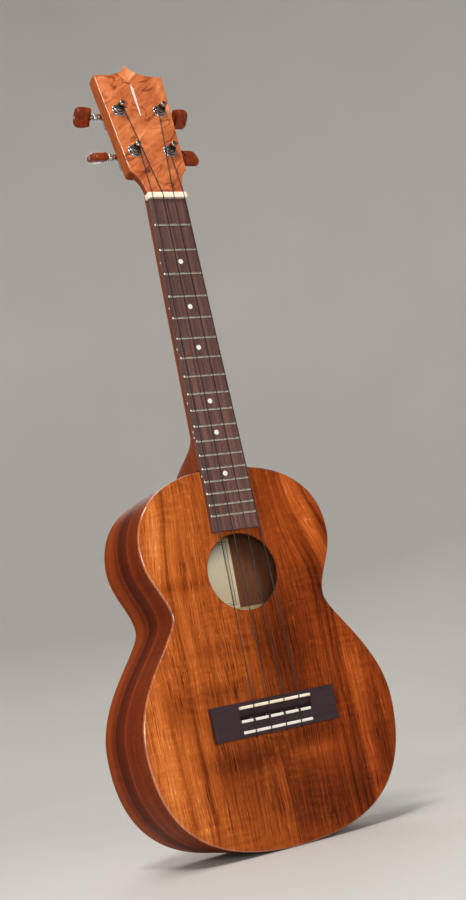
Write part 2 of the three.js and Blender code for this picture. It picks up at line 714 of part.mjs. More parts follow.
// The button: a thick rounded keystone, bored for the shaft.
const BUTTON_EDGE = { depth: 4.2, bevel: 1.5, bevelThickness: 1.7 };
const BUTTON_CLEAR = 0.25;
function button() {
  const { length, half, start } = BUTTON;
  const { depth, bevel, bevelThickness } = BUTTON_EDGE;
  const shape = new THREE.Shape();
  shape.moveTo(bevel, -half * 0.86 + bevel);
  shape.quadraticCurveTo(length * 0.5, -half, length * 0.72, -half + bevel);
  shape.quadraticCurveTo(length - bevel, -half * 0.75, length - bevel, -half * 0.25);
  shape.lineTo(length - bevel, half * 0.25);
  shape.quadraticCurveTo(length - bevel, half * 0.75, length * 0.72, half - bevel);
  shape.quadraticCurveTo(length * 0.5, half, bevel, half * 0.86 - bevel);
  const settings = { depth, bevelThickness, bevelSize: bevel, bevelSegments: 2, curveSegments: 4 };
  const body = new THREE.ExtrudeGeometry(shape, settings).translate(start, 0, -depth / 2);
  const boreEnd = start + SHAFT_IN_BUTTON + GAP;
  return cut(body, rodX(SHAFT.radius + BUTTON_CLEAR, start - 1, boreEnd, 14));
}

// Each machine is drawn for the treble side and mirrored for the bass side.
for (const { name, x, up, knob } of POSTS) {
  const machine = new THREE.Group();
  machine.position.set(x, up, 0);
  machine.scale.x = Math.sign(x);
  headstock.add(machine);
  const shaft = new THREE.Group();
  shaft.position.set(0, SHAFT.y, SHAFT.z);
  machine.add(shaft);
  add(machine, `${name}_housing`, housing(), "chrome");
  add(machine, `${name}_string_post`, stringPost(), "chrome");
  add(machine, `${name}_bushing`, bushing(), "chrome");
  add(shaft, `${name}_worm_shaft`, wormShaft(), "chrome");
  add(shaft, `${name}_button`, button(), "mahogany").rotation.x = THREE.MathUtils.degToRad(knob);
}

// ---- strings ----
// Each runs from its knot round the tie block, over saddle and nut, to its coil on the post.
const COIL = { radius: POST_WAIST.radius + STRING_RADIUS + 0.25, start: 4.7, pitch: 0.93, steps: 12 };
const TAIL = { x: 5, front: 0.8 };
const OVER_NUT = [0.4, NUT.length - 0.4];
const STRING_SIDES = 6;

// The string lies doubled on the strips, loops round itself in the ramp and goes back through its hole.
function knot(x) {
  const side = 0.52;
  const top = STRIP.front - STRING_RADIUS - 0.15;
  const behind = BRIDGE.bottom - STRING_RADIUS - 0.2;
  const stations = [
    [x + side, top, -452],
    [x + side, top, -444.1],
    [x + side, top + 0.4, -443.15],
    [x + side * 0.8, top + 1.2, -442.7],
    [x, top + 1.6, -442.4],
    [x - side * 0.8, top + 1.2, -442.7],
    [x - side, top + 0.4, -443.15],
    [x - side, top, -444.1],
    [x - side, top, -457.3],
    [x - side, top + 0.4, behind],
    [x - side * 0.7, top + 1.6, behind - 0.2],
    [x, TIE_HOLE.y - 1.0, behind - 0.2],
    [x, TIE_HOLE.y - 0.2, behind],
    [x, TIE_HOLE.y, -457.2],
    [x, TIE_HOLE.y, -445],
    [x, TIE_HOLE.y - 0.35, -443.2],
    [x, SADDLE_STRING_Y + 0.75, -435.85],
    [x, SADDLE_STRING_Y, SADDLE.z],
  ];
  return stations.map((station) => new THREE.Vector3(...station));
}

// Turns round the post from the side nearer the centre line, ending in a short tail.
function coil({ x, up }) {
  const bass = x < 0;
  const turn = bass ? 1 : -1;
  const from = bass ? 0 : Math.PI;
  const turns = bass ? 2.75 : 2.25;
  const points = [];
  for (let i = 0; i <= Math.round(turns * COIL.steps); i++) {
    const round = i / COIL.steps;
    const angle = from + turn * 2 * Math.PI * round;
    const across = x + COIL.radius * Math.cos(angle);
    const along = up + COIL.radius * Math.sin(angle);
    points.push(new THREE.Vector3(across, along, COIL.start + COIL.pitch * round));
  }
  const end = points[points.length - 1];
  points.push(new THREE.Vector3(end.x + TAIL.x, end.y, end.z + TAIL.front));
  return points.map((p) => p.applyMatrix4(headstock.matrix));
}

for (const post of POSTS) {
  const index = post.string;
  const overNut = OVER_NUT.map((z) => new THREE.Vector3(NUT_STRINGS[index], NUT_STRING_Y, z));
  const route = [...knot(SADDLE_STRINGS[index]), ...overNut, ...coil(post)];
  add(instrument, `string_${index + 1}`, tube(route, STRING_RADIUS, STRING_SIDES), "nylon");
}

export default part;
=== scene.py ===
"""The looks of a tenor ukulele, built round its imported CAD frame.

Shapes are worked out in millimetres above the nut's front edge (x to the treble side, y to the back,
z up the neck) and placed in the frame's metres by place().
"""

import math

import bmesh
import bpy
from mathutils import Matrix, Vector


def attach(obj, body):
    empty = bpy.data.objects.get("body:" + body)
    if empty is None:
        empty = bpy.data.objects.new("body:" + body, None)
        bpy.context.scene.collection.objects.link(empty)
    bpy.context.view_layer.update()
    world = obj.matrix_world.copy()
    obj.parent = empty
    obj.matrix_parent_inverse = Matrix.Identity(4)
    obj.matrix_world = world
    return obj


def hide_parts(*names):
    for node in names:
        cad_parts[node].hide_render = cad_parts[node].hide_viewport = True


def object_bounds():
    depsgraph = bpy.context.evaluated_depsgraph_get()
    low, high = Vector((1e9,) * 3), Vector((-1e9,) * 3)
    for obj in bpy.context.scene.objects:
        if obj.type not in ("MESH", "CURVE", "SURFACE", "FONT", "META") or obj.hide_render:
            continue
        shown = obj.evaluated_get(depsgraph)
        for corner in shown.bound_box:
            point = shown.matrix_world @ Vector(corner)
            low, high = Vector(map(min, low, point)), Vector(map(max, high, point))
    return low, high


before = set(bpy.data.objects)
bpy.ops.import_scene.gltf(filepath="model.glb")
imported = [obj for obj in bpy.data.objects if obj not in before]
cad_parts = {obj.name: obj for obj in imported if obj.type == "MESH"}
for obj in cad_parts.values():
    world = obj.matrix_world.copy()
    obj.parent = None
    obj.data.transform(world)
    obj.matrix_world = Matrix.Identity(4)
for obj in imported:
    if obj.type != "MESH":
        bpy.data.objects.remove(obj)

cad_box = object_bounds()

# ---- dimensions, in mm ----
HANGER_ABOVE_NUT = 18
SCALE = 432
FRETS = 18
GAP = 0.02  # between a piece and the face that it sits on; the bridge sinks in by as much
RIM = 0.3  # a face's outermost ring lies this far inside the rounding of its edge

BODY_TOP = -238.9
BODY_BOTTOM = -547.5
PLATE = 2.4
SIDE = 2.0
DEPTH_AT_NECK = 75
DEPTH_AT_TAIL = 89
UPPER_BOUT = (87.4, -300.3)
WAIST = (70.2, -355.3)
LOWER_BOUT = (113.7, -449.5)
HOLE_RADIUS = 32
HOLE_Z = -326.8
LABEL_HALF_WIDE = 31.0
LABEL_HALF_LONG = 31.15
LABEL_Z = -318.15

BOARD_FRONT = -4.4
BOARD_END = -292.4
BOARD_HALF_AT_NUT = 17.56
BOARD_HALF_AT_LAST_FRET = 21.43

NUT_HALF = 18.8
NUT_FRONT = -7.6
NUT_LENGTH = 5
NUT_STRINGS = (-14.9, -5.1, 5.1, 14.9)
NUT_STRING_Y = -7.1
SADDLE_STRINGS = (-20.8, -6.9, 6.9, 20.8)
SADDLE_STRING_Y = -10.5
SADDLE_Z = -434.4
STRING_RADIUS = 0.42

BRIDGE_HALF = 56
BRIDGE_TOP = -430
BRIDGE_BOTTOM = -457.6
BRIDGE_FRONT = -6.2
STRIPS = (("tie_strip_upper", -445.0), ("tie_strip_lower", -453.7))
STRIP_HALF = 31.8
STRIP_FRONT = -6.5
TIE_WALL = -443.5
TIE_HOLE_Y = -3.1

HEAD_TILT = math.radians(11.67)
HEAD_BASE = Vector((0, -4.16, 4))
HEAD_THICK = 14
VENEER = 1.6

TUNERS = (
    # name, across, up the headstock, rest turn of the button in degrees, string
    ("tuner_1", -17, 45.8, 118, 0),
    ("tuner_2", -19.8, 89.5, 58, 1),
    ("tuner_3", 19.8, 89.5, 62, 2),
    ("tuner_4", 17, 45.8, -18, 3),
)
SHAFT_UP = 5.8
SHAFT_FRONT = -17.65
POST_WAIST_RADIUS = 2.3
BUSHING_BORE = 3.35
WHEEL_TEETH = 14
GEAR_MODULE = 0.5


def place(point):
    """A point in mm above the nut, in the frame's metres."""
    x, y, z = point
    return (x / 1000, y / 1000, (z - HANGER_ABOVE_NUT) / 1000)


def smoothstep(value, low, high):
    t = min(max((value - low) / (high - low), 0), 1)
    return t * t * (3 - 2 * t)


def mix(a, b, t):
    return a + (b - a) * t


# ---- materials ----
def linear(red, green, blue):
    """An sRGB colour of 0 to 255 as a linear colour with alpha."""
    parts = [c / 255 for c in (red, green, blue)]
    return (*(c / 12.92 if c <= 0.04045 else ((c + 0.055) / 1.055) ** 2.4 for c in parts), 1)


class Graph:
    """A material's node tree: each method adds nodes and returns an output socket."""

    def __init__(self, name):
        self.material = bpy.data.materials.new(name)
        self.material.use_nodes = True
        self.tree = self.material.node_tree
        self.shader = self.tree.nodes["Principled BSDF"]

    def feed(self, socket, value):
        if isinstance(value, bpy.types.NodeSocket):
            self.tree.links.new(value, socket)
        else:
            socket.default_value = value

    def node(self, kind, inputs, settings=None, output=0):
        made = self.tree.nodes.new(kind)
        for key, value in (settings or {}).items():
            setattr(made, key, value)
        for key, value in inputs.items():
            self.feed(made.inputs[key], value)
        return made.outputs[output]

    def math(self, operation, a, b=0.0):
        return self.node("ShaderNodeMath", {0: a, 1: b}, {"operation": operation})

    def add(self, *values):
        total = values[0]
        for value in values[1:]:
            total = self.math("ADD", total, value)
        return total

    def times(self, a, b):
        return self.math("MULTIPLY", a, b)

    def minus(self, a, b):
        return self.math("SUBTRACT", a, b)

    def magnitude(self, value):
        return self.math("ABSOLUTE", value)

    def relief(self, pores, lines, pore_depth=-1.0, line_height=0.8):
        """A bump height with sunken pores and raised lines."""
        return self.add(self.times(pores, pore_depth), self.times(lines, line_height))

    def vector(self, operation, a, b):
        return self.node("ShaderNodeVectorMath", {0: a, 1: b}, {"operation": operation})

    def split(self, vector):
        made = self.tree.nodes.new("ShaderNodeSeparateXYZ")
        self.feed(made.inputs[0], vector)
        return made.outputs[0], made.outputs[1], made.outputs[2]

    def join(self, x, y, z):
        return self.node("ShaderNodeCombineXYZ", {0: x, 1: y, 2: z})

    def position(self):
        """The piece's own coordinates in mm, counted from the nut."""
        own = self.tree.nodes.new("ShaderNodeTexCoord").outputs["Object"]
        millimetres = self.vector("MULTIPLY", own, (1000, 1000, 1000))
        return self.vector("ADD", millimetres, (0, 0, HANGER_ABOVE_NUT))

    def noise(self, vector, size, detail=3, roughness=0.5, distortion=0):
        """Noise whose features measure about size mm along x, y and z."""
        stretched = self.vector("DIVIDE", vector, size)
        inputs = {"Vector": stretched, "Scale": 1, "Detail": detail, "Roughness": roughness,
                  "Distortion": distortion}
        return self.node("ShaderNodeTexNoise", inputs)

    def swing(self, vector, size, amount, detail=3, roughness=0.5, distortion=0):
        """Noise as a value that swings about zero by roughly amount."""
        raw = self.noise(vector, size, detail, roughness, distortion)
        return self.times(self.minus(raw, 0.5), amount * 3)

    def patches(self, vector, size, low, high, bottom=0.0, top=1.0, detail=1):
        """Noise turned into patches: bottom where it is under low, top where it is over high."""
        return self.smooth(self.noise(vector, size, detail), low, high, bottom, top)

    def smooth(self, value, low, high, bottom=0.0, top=1.0, curve="SMOOTHSTEP"):
        inputs = {"Value": value, "From Min": low, "From Max": high, "To Min": bottom, "To Max": top}
        return self.node("ShaderNodeMapRange", inputs, {"interpolation_type": curve})

    def cloud(self, vector, x, z, half_x, half_z, amount):
        """A soft patch about (x, z) that fades out over its half sizes."""
        offset = self.vector("SUBTRACT", vector, (x, 0, z))
        scaled = self.vector("DIVIDE", offset, (half_x * 1.6, 1e6, half_z * 1.6))
        reach = self.node("ShaderNodeVectorMath", {0: scaled}, {"operation": "LENGTH"}, 1)
        return self.smooth(reach, 0, 1, amount, 0)

    def ramp(self, value, stops):
        made = self.tree.nodes.new("ShaderNodeValToRGB")
        self.feed(made.inputs[0], value)
        band = made.color_ramp
        band.interpolation = "LINEAR"
        while len(band.elements) < len(stops):
            band.elements.new(0.5)
        for element, (at, colour) in zip(band.elements, stops):
            element.position = at
            element.color = colour
        return made.outputs[0]

    def levels(self, value, low, high, stops):
        """Piecewise values at places between low and high, read by value."""
        greys = [((at - low) / (high - low), (level, level, level, 1)) for at, level in stops]
        return self.ramp(self.smooth(value, low, high, curve="LINEAR"), greys)

    def blend(self, factor, a, b):
        inputs = {0: factor, 6: a, 7: b}
        return self.node("ShaderNodeMix", inputs, {"data_type": "RGBA", "clamp_factor": True}, 2)

    def finish(self, colour, roughness, height, depth, **constants):
        """Feeds the shader. depth is the bump's height in mm; constants go straight on its sockets."""
        bump = {"Strength": 1.0, "Distance": depth / 1000, "Height": height}
        self.feed(self.shader.inputs["Base Color"], colour)
        self.feed(self.shader.inputs["Roughness"], roughness)
        self.feed(self.shader.inputs["Normal"], self.node("ShaderNodeBump", bump))
        for key, value in constants.items():
            self.shader.inputs[key.replace("_", " ")].default_value = value
        return self.material


def tones(*colours):
    """Colour ramp stops, evenly spaced from the darkest to the lightest."""
    return [(i / (len(colours) - 1), linear(*c)) for i, c in enumerate(colours)]


def open_grain(g, p, along):
    """Fine lines, broad lines and pores of a wood whose grain runs along z or x."""
    def size(across, length):
        return (length, across, across) if along == "x" else (across, across, length)

    lines = g.swing(p, size(1.5, 60), 0.11, detail=4, roughness=0.65)
    bands = g.swing(p, size(4.2, 130), 0.1, detail=3)
    pores = g.patches(p, size(0.3, 4.0), 0.6, 0.72)
    return lines, bands, pores


def koa_top_material(name="koa_top", gloss=0.3, specular=0.08, coat=0.04):
    g = Graph(name)
    p = g.position()
    x, _, z = g.split(p)
    # Grain lines wander slowly, and fan out from the neck to the waist on either side.
    fan = g.smooth(z, -348, -240)
    right = g.times(g.times(g.smooth(x, 16, 60), fan), 27.0)
    left = g.times(g.times(g.smooth(x, -16, -60), fan), -8.0)
    wander = g.swing(p, (55, 55, 110), 3.0, detail=2)
    ripple = g.swing(p, (9, 9, 26), 0.35, detail=2)
    line = g.add(x, right, left, wander, ripple)
    lines_at = g.join(line, 0.0, z)

    bass = g.levels(line, -115, 0, [
        (-115, 0.60), (-104, 0.68), (-97, 0.74), (-90, 0.64), (-87, 0.50), (-84, 0.60), (-78, 0.70),
        (-73, 0.60), (-70, 0.50), (-68, 0.38), (-65.5, 0.58), (-60, 0.62), (-54.5, 0.48), (-50, 0.56),
        (-45, 0.48), (-42, 0.54), (-30, 0.48), (-21, 0.53), (-9, 0.46), (-1, 0.48), (0, 0.38),
    ])
    treble = g.levels(line, 0, 115, [
        (0, 0.38), (1, 0.44), (14, 0.40), (30, 0.42), (44, 0.46), (51, 0.38), (57, 0.56), (61, 0.34),
        (64.5, 0.48), (68, 0.26), (71, 0.44), (73.5, 0.28), (77, 0.60), (84, 0.58), (91, 0.48),
        (94.5, 0.30), (99, 0.46), (107, 0.44), (115, 0.38),
    ])
    side = g.math("GREATER_THAN", x, 0.0)
    streaks = g.blend(side, bass, treble)
    fading = g.patches(p, (40, 40, 90), 0.3, 0.7, 0.35, 1.15)
    streaks = g.times(g.minus(streaks, 0.5), fading)

    clouds = [
        (-97, -445, 12, 60, 0.14), (-72, -290, 9, 36, 0.16), (-38, -270, 14, 26, 0.06),
        (26, -386, 27, 40, -0.17), (-78, -426, 15, 17, -0.14), (-38, -386, 24, 8, -0.10),
        (-36, -418, 26, 8, -0.13), (-45, -470, 40, 40, -0.06), (-30, -474, 36, 10, -0.20),
        (32, -467, 30, 6, -0.10), (30, -479, 24, 5, 0.10), (42, -518, 48, 27, -0.17),
        (-34, -520, 34, 24, 0.05), (-58, -331, 24, 6, -0.13), (62, -348, 7, 30, -0.16),
        (86, -425, 12, 26, 0.12), (50, -285, 18, 40, 0.1), (72, -294, 8, 34, 0.2),
        (60, -262, 12, 18, 0.12), (-3, -506, 4, 40, 0.08), (-30, -506, 44, 40, -0.11),
        (98, -486, 12, 24, -0.12), (-12, -395, 7, 28, 0.04), (6, -385, 30, 60, -0.05),
    ]
    patches = g.add(*[g.cloud(p, *cloud) for cloud in clouds])

    # Below the bridge the treble leaf meets the centre seam darker than the bass leaf.
    below = g.smooth(z, -452, -470)
    seam_dark = g.times(g.smooth(x, -0.4, 0.4), g.smooth(x, 20, 2, 0.0, -0.035))
    seam = g.times(below, seam_dark)

    curl_at = g.join(line, 0.0, g.add(z, g.swing(p, (18, 18, 30), 4.0)))
    curl = g.swing(curl_at, (22, 22, 3.6), 0.11, detail=3)
    curl = g.times(curl, g.patches(p, (38, 38, 38), 0.36, 0.6))
    lines, bands, pores = open_grain(g, lines_at, "z")
    threads = g.swing(lines_at, (1.0, 1.0, 26), 0.27, detail=3, roughness=0.7)
    flecks = g.patches(lines_at, (1.2, 1.2, 18), 0.56, 0.68, detail=3)
    glints = g.patches(lines_at, (1.5, 1.5, 6), 0.58, 0.72, detail=3)
    flecked = g.patches(p, (24, 24, 60), 0.35, 0.65, 0.3, 1.0, detail=2)
    tone = g.add(
        0.45, streaks, patches, curl, g.times(lines, 1.9), bands, g.times(threads, flecked), seam,
        g.times(g.times(flecks, flecked), -0.26), g.times(glints, 0.18), g.times(pores, -0.14))

    golden = g.ramp(tone, tones((52, 18, 2), (114, 48, 12), (168, 83, 29), (212, 121, 56), (250, 174, 104)))
    red = g.ramp(tone, tones((44, 12, 1), (92, 32, 4), (138, 54, 13), (188, 90, 31), (234, 144, 70)))
    redder = g.add(g.smooth(x, -30, 60, 0.05, 0.8), g.swing(p, (60, 60, 60), 0.12))
    colour = g.blend(redder, golden, red)
    rough = g.add(gloss, g.times(pores, 0.2), g.swing(p, (30, 30, 30), 0.03), g.times(lines, 0.3))
    height = g.relief(pores, lines)
    return g.finish(colour, rough, height, 0.012, Specular_IOR_Level=specular, Coat_Weight=coat,
                    Coat_Roughness=0.1)


def koa_side_material():
    """Bent sides: bands along the outline, from the grain attribute (distance round, depth, 0)."""
    g = Graph("koa_side")
    grain = g.node("ShaderNodeAttribute", {}, {"attribute_name": "grain"}, 1)
    along, depth, _ = g.split(grain)
    drift = g.smooth(along, 120, 290, 0.0, 15.0)
    wander = g.swing(g.join(along, 0.0, 0.0), (70, 70, 70), 1.3, detail=1)
    band = g.add(g.minus(depth, drift), wander)
    level = g.levels(band, -16, 84, [
        (-16, 0.50), (-6, 0.56), (2, 0.52), (8, 0.56), (14, 0.50), (20, 0.52), (22, 0.56), (24.5, 0.66),
        (27, 0.48), (33, 0.40), (39, 0.34), (44.5, 0.32), (46.5, 0.56), (52, 0.50), (58, 0.64),
        (66, 0.68), (72, 0.60), (78, 0.72), (84, 0.62),
    ])
    at = g.join(band, 0.0, along)
    lines, bands, pores = open_grain(g, at, "z")
    curl = g.swing(at, (30, 30, 4), 0.07, detail=2)
    curl = g.times(curl, g.patches(at, (40, 40, 60), 0.4, 0.62))
    tone = g.add(level, g.times(lines, 1.15), g.times(bands, 0.8), curl, g.times(pores, -0.12))
    colour = g.ramp(tone, tones((24, 7, 1), (62, 19, 3), (110, 39, 8), (158, 70, 21), (200, 112, 52)))
    rough = g.add(0.42, g.times(pores, 0.2), g.times(lines, 0.2))
    height = g.relief(pores, lines)
    return g.finish(colour, rough, height, 0.012, Specular_IOR_Level=0.02, Coat_Weight=0.0)


def plain_wood(name, colours, along="z", figure=0.12, gloss=0.3, coat=0.2, curl=0.0, wide=9, pore=0.1,
               specular=0.2, painted_light_above=None):
    """Straight-grained wood with broad figure, fine lines, pores and, if wanted, curl.

    The last argument holds the two heights over which painted light fades in: above them the wood is
    painted paler.
    """
    g = Graph(name)
    p = g.position()
    lines, bands, pores = open_grain(g, p, along)
    size = (160, wide, wide) if along == "x" else (wide, wide, 160)
    broad = g.swing(p, size, figure, detail=2, distortion=0.4)
    parts = [0.5, lines, bands, broad, g.times(pores, -pore)]
    if curl:
        waves = g.swing(p, (24, 24, 5), curl, detail=2, distortion=0.5)
        parts.append(g.times(waves, g.patches(p, (40, 40, 40), 0.4, 0.6)))
    # Painted light: the wood is painted paler above the given heights.
    if painted_light_above:
        parts.append(g.smooth(g.split(p)[2], *painted_light_above, 0.0, 0.3))
    tone = g.add(*parts)
    colour = g.ramp(tone, tones(*colours))
    rough = g.add(gloss, g.times(pores, 0.25), g.times(lines, 0.4))
    height = g.relief(pores, lines)
    return g.finish(colour, rough, height, 0.015, Specular_IOR_Level=specular, Coat_Weight=coat,
                    Coat_Roughness=0.1)


def veneer_material(name="veneer", gloss=0.24, specular=0.2, coat=0.12):
    """Swirling, curly koa with dark veins, and a paler tongue running up into the peak."""
    g = Graph(name)
    p = g.position()
    x, _, z = g.split(p)
    # Curl runs slantwise: u climbs to the treble side, v crosses it.
    u = g.add(g.times(x, 0.8), g.times(z, 0.6))
    v = g.add(g.times(x, -0.6), g.times(z, 0.8))
    slanted = g.join(u, 0.0, v)
    clouds = g.swing(slanted, (34, 34, 20), 0.32, detail=2, distortion=0.6)
    folds = g.swing(slanted, (20, 20, 5.5), 0.26, detail=4, roughness=0.55, distortion=0.9)
    swirl = g.swing(p, (7, 7, 9), 0.08, detail=4, distortion=1.4)
    vein_noise = g.noise(slanted, (40, 40, 17), detail=2, roughness=0.45, distortion=0.9)
    vein = g.smooth(g.magnitude(g.minus(vein_noise, 0.5)), 0.0, 0.03, 1.0, 0.0)
    vein = g.times(vein, g.patches(p, (30, 30, 30), 0.4, 0.55))
    # The tongue lies where the height is more than its foot plus the distance from the centre line.
    spread = g.times(g.magnitude(g.add(x, 1.5, g.swing(p, (8, 8, 8), 0.8))), 1.1)
    above = g.minus(g.minus(z, 121.0), spread)
    tongue = g.smooth(above, -1.0, 3.0, 0.0, 0.16)
    edge = g.smooth(g.magnitude(above), 0.0, 2.2, -0.2, 0.0)
    lines, bands, pores = open_grain(g, p, "z")
    tone = g.add(0.59, clouds, swirl, folds, tongue, edge, g.times(vein, -0.36), g.times(lines, 0.45),
                 g.times(pores, -0.05))
    stops = tones((84, 34, 18), (138, 64, 34), (184, 98, 56), (216, 128, 78), (244, 170, 118))
    colour = g.ramp(tone, stops)
    rough = g.add(gloss, g.times(pores, 0.12), g.times(swirl, 0.05))
    height = g.relief(pores, lines, -0.6, 0.6)
    return g.finish(colour, rough, height, 0.01, Specular_IOR_Level=specular, Coat_Weight=coat,
                    Coat_Roughness=0.08)


def metal(name, colour, roughness, scratch, tint):
    g = Graph(name)
    p = g.position()
    smudge = g.noise(p, (5, 5, 5), detail=3)
    fine = g.noise(p, (0.12, 0.9, 1.4), detail=2)
    rough = g.add(roughness, g.times(g.minus(smudge, 0.45), 0.14), g.times(fine, scratch))
    shade = g.blend(g.smooth(smudge, 0.35, 0.7), linear(*colour), linear(*tint))
    return g.finish(shade, rough, fine, 0.002, Metallic=1.0)


def bone_material(name, pale, dark, roughness):
    g = Graph(name)
    p = g.position()
    mottle = g.noise(p, (6, 3, 3), detail=4)
    streaks = g.noise(p, (9, 0.5, 0.5), detail=2)
    tone = g.add(g.times(mottle, 0.6), g.times(streaks, 0.4))
    colour = g.blend(g.smooth(tone, 0.3, 0.7), linear(*dark), linear(*pale))
    rough = g.add(roughness, g.times(g.minus(mottle, 0.5), 0.15))
    return g.finish(colour, rough, streaks, 0.006, Specular_IOR_Level=0.5, Subsurface_Weight=0.12,
                    Subsurface_Scale=0.002)


def pearl_material():
    g = Graph("pearl")
    p = g.position()
    sheets = g.noise(p, (2.6, 2.6, 2.6), detail=3, distortion=1.5)
    stops = tones((226, 214, 206), (244, 240, 232), (222, 232, 230), (250, 246, 240))
    colour = g.ramp(g.smooth(sheets, 0.3, 0.7), stops)
    rough = g.add(0.18, g.times(sheets, 0.12))
    return g.finish(colour, rough, sheets, 0.004, Coat_Weight=0.4, Coat_Roughness=0.05)


def nylon_material():
    g = Graph("nylon")
    p = g.position()
    cloud = g.noise(p, (3, 3, 12), detail=3)
    colour = g.blend(g.smooth(cloud, 0.3, 0.7), linear(20, 19, 21), linear(42, 40, 43))
    rough = g.add(0.28, g.times(cloud, 0.14))
    return g.finish(colour, rough, g.noise(p, (0.3, 0.3, 2.0), detail=1), 0.006, Specular_IOR_Level=0.3)


def label_material():
    """Cream paper with a plain double rule near its edge."""
    g = Graph("label")
    p = g.position()
    x, _, z = g.split(p)
    from_side = g.minus(LABEL_HALF_WIDE, g.magnitude(x))
    from_end = g.minus(LABEL_HALF_LONG, g.magnitude(g.add(z, -LABEL_Z)))
    edge = g.math("MINIMUM", from_side, from_end)
    outer = g.smooth(g.magnitude(g.minus(edge, 3.4)), 0.3, 0.5, 1.0, 0.0)
    inner = g.smooth(g.magnitude(g.minus(edge, 5.2)), 0.12, 0.3, 1.0, 0.0)
    rule = g.math("MAXIMUM", outer, inner)
    fibre = g.noise(p, (1.2, 1.2, 2.4), detail=5, roughness=0.65)
    age = g.noise(p, (22, 22, 22), detail=3)
    tone = g.add(g.times(fibre, 0.5), g.times(age, 0.5))
    paper = g.blend(g.smooth(tone, 0.35, 0.65), linear(250, 228, 186), linear(255, 244, 214))
    colour = g.blend(g.times(rule, 0.75), paper, linear(112, 88, 56))
    return g.finish(colour, g.add(0.75, g.times(fibre, 0.15)), fibre, 0.02)


def floor_material():
    g = Graph("floor")
    p = g.position()
    cloud = g.noise(p, (400, 400, 400), detail=4)
    colour = g.blend(cloud, linear(214, 211, 206), linear(224, 222, 218))
    return g.finish(colour, g.add(0.75, g.times(cloud, 0.1)), g.noise(p, (3, 3, 3), detail=2), 0.05)


MATERIALS = {
    "koa_top": koa_top_material(),
    "koa_edge": koa_top_material("koa_edge", 0.1, 1.0, 1.0),
    "koa_side": koa_side_material(),
    "veneer": veneer_material(),
    "veneer_edge": veneer_material("veneer_edge", 0.12, 1.0, 1.0),
    # The headstock's slab is painted paler than the rest of the neck: painted light.
    "neck": plain_wood(
        "mahogany", ((44, 15, 3), (84, 32, 9), (126, 54, 19), (162, 78, 34), (198, 114, 60)),
        figure=0.09, gloss=0.4, coat=0.0, curl=0.05, specular=0.06, painted_light_above=(25.5, 31)),
    "back": plain_wood(
        "koa_back", ((50, 18, 7), (104, 42, 17), (152, 72, 33), (190, 104, 54), (226, 146, 88)),
        figure=0.22, gloss=0.26, coat=0.08, curl=0.09, wide=16, specular=0.1),
    "button": plain_wood(
        "button_wood", ((38, 11, 2), (80, 26, 5), (124, 46, 11), (164, 72, 26), (204, 110, 54)),
        figure=0.16, gloss=0.16, coat=0.2, curl=0.06, wide=3, specular=0.12),
    "inside": plain_wood(
        "koa_inside", ((66, 34, 22), (104, 60, 40), (140, 88, 62), (168, 112, 82), (192, 136, 104)),
        figure=0.12, gloss=0.7, coat=0.0, wide=12, pore=0.15),
    "rosewood": plain_wood(
        "rosewood", ((28, 18, 18), (60, 41, 39), (96, 68, 64), (138, 100, 92), (176, 134, 124)),
        figure=0.2, gloss=0.42, coat=0.0, wide=2.2, pore=0.25),
    "bridge": plain_wood(
        "bridge_wood", ((26, 17, 19), (40, 28, 31), (55, 40, 44), (71, 53, 57), (88, 68, 71)),
        along="x", figure=0.08, gloss=0.4, coat=0.0, wide=4, pore=0.12),
    "spruce": plain_wood(
        "spruce", ((176, 144, 96), (200, 170, 120), (218, 190, 142), (230, 206, 162), (240, 220, 182)),
        figure=0.05, gloss=0.6, coat=0.0, pore=0.02),
    "bone": bone_material("bone", (255, 244, 226), (240, 224, 196), 0.3),
    "strip": bone_material("tie_strip", (250, 247, 240), (238, 232, 218), 0.32),
    "pearl": pearl_material(),
    "chrome": metal("chrome", (206, 206, 210), 0.1, 0.05, (188, 186, 188)),
    "smoked": metal("smoked_chrome", (176, 174, 176), 0.06, 0.04, (148, 144, 146)),
    "cap": metal("post_cap", (158, 142, 134), 0.16, 0.08, (132, 120, 114)),
    "nickel": metal("nickel_silver", (222, 214, 200), 0.2, 0.1, (204, 196, 182)),
    "brass": metal("gear_brass", (206, 168, 96), 0.28, 0.1, (186, 150, 84)),
    "nylon": nylon_material(),
    "paper": label_material(),
    "floor": floor_material(),
}


# ---- mesh helpers ----
def make(name, points, faces, material, body="instrument", sharp=38, grain=None):
    """A mesh object from points in mm; grain holds a vector for each point."""
    mesh = bpy.data.meshes.new(name)
    mesh.from_pydata([place(p) for p in points], [], faces)
    if grain:
        attribute = mesh.attributes.new("grain", "FLOAT_VECTOR", "POINT")
        attribute.data.foreach_set("vector", [c for vector in grain for c in vector])
    tidy = bmesh.new()
    tidy.from_mesh(mesh)
    bmesh.ops.remove_doubles(tidy, verts=tidy.verts, dist=1e-7)
    bmesh.ops.recalc_face_normals(tidy, faces=tidy.faces)
    if tidy.calc_volume(signed=True) < 0:
        bmesh.ops.reverse_faces(tidy, faces=tidy.faces)
    tidy.to_mesh(mesh)
    tidy.free()
    mesh.shade_smooth()
    mesh.set_sharp_from_angle(angle=math.radians(sharp))
    piece = bpy.data.objects.new(name, mesh)
    bpy.context.scene.collection.objects.link(piece)
    mesh.materials.append(MATERIALS[material])
    if body:
        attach(piece, body)
    return piece


def skin(rings, closed_loop=False):
    """Points and faces of quads between rings; the end rings are capped unless they join up."""
    count = len(rings[0])
    points = [p for ring in rings for p in ring]
    faces = []
    for i in range(len(rings) if closed_loop else len(rings) - 1):
        a = i * count
        b = ((i + 1) % len(rings)) * count
        for k in range(count):
            m = (k + 1) % count
            faces.append((a + k, a + m, b + m, b + k))
    if not closed_loop:
        faces.append(tuple(range(count)))
        faces.append(tuple(range((len(rings) - 1) * count, len(rings) * count)))
    return points, faces


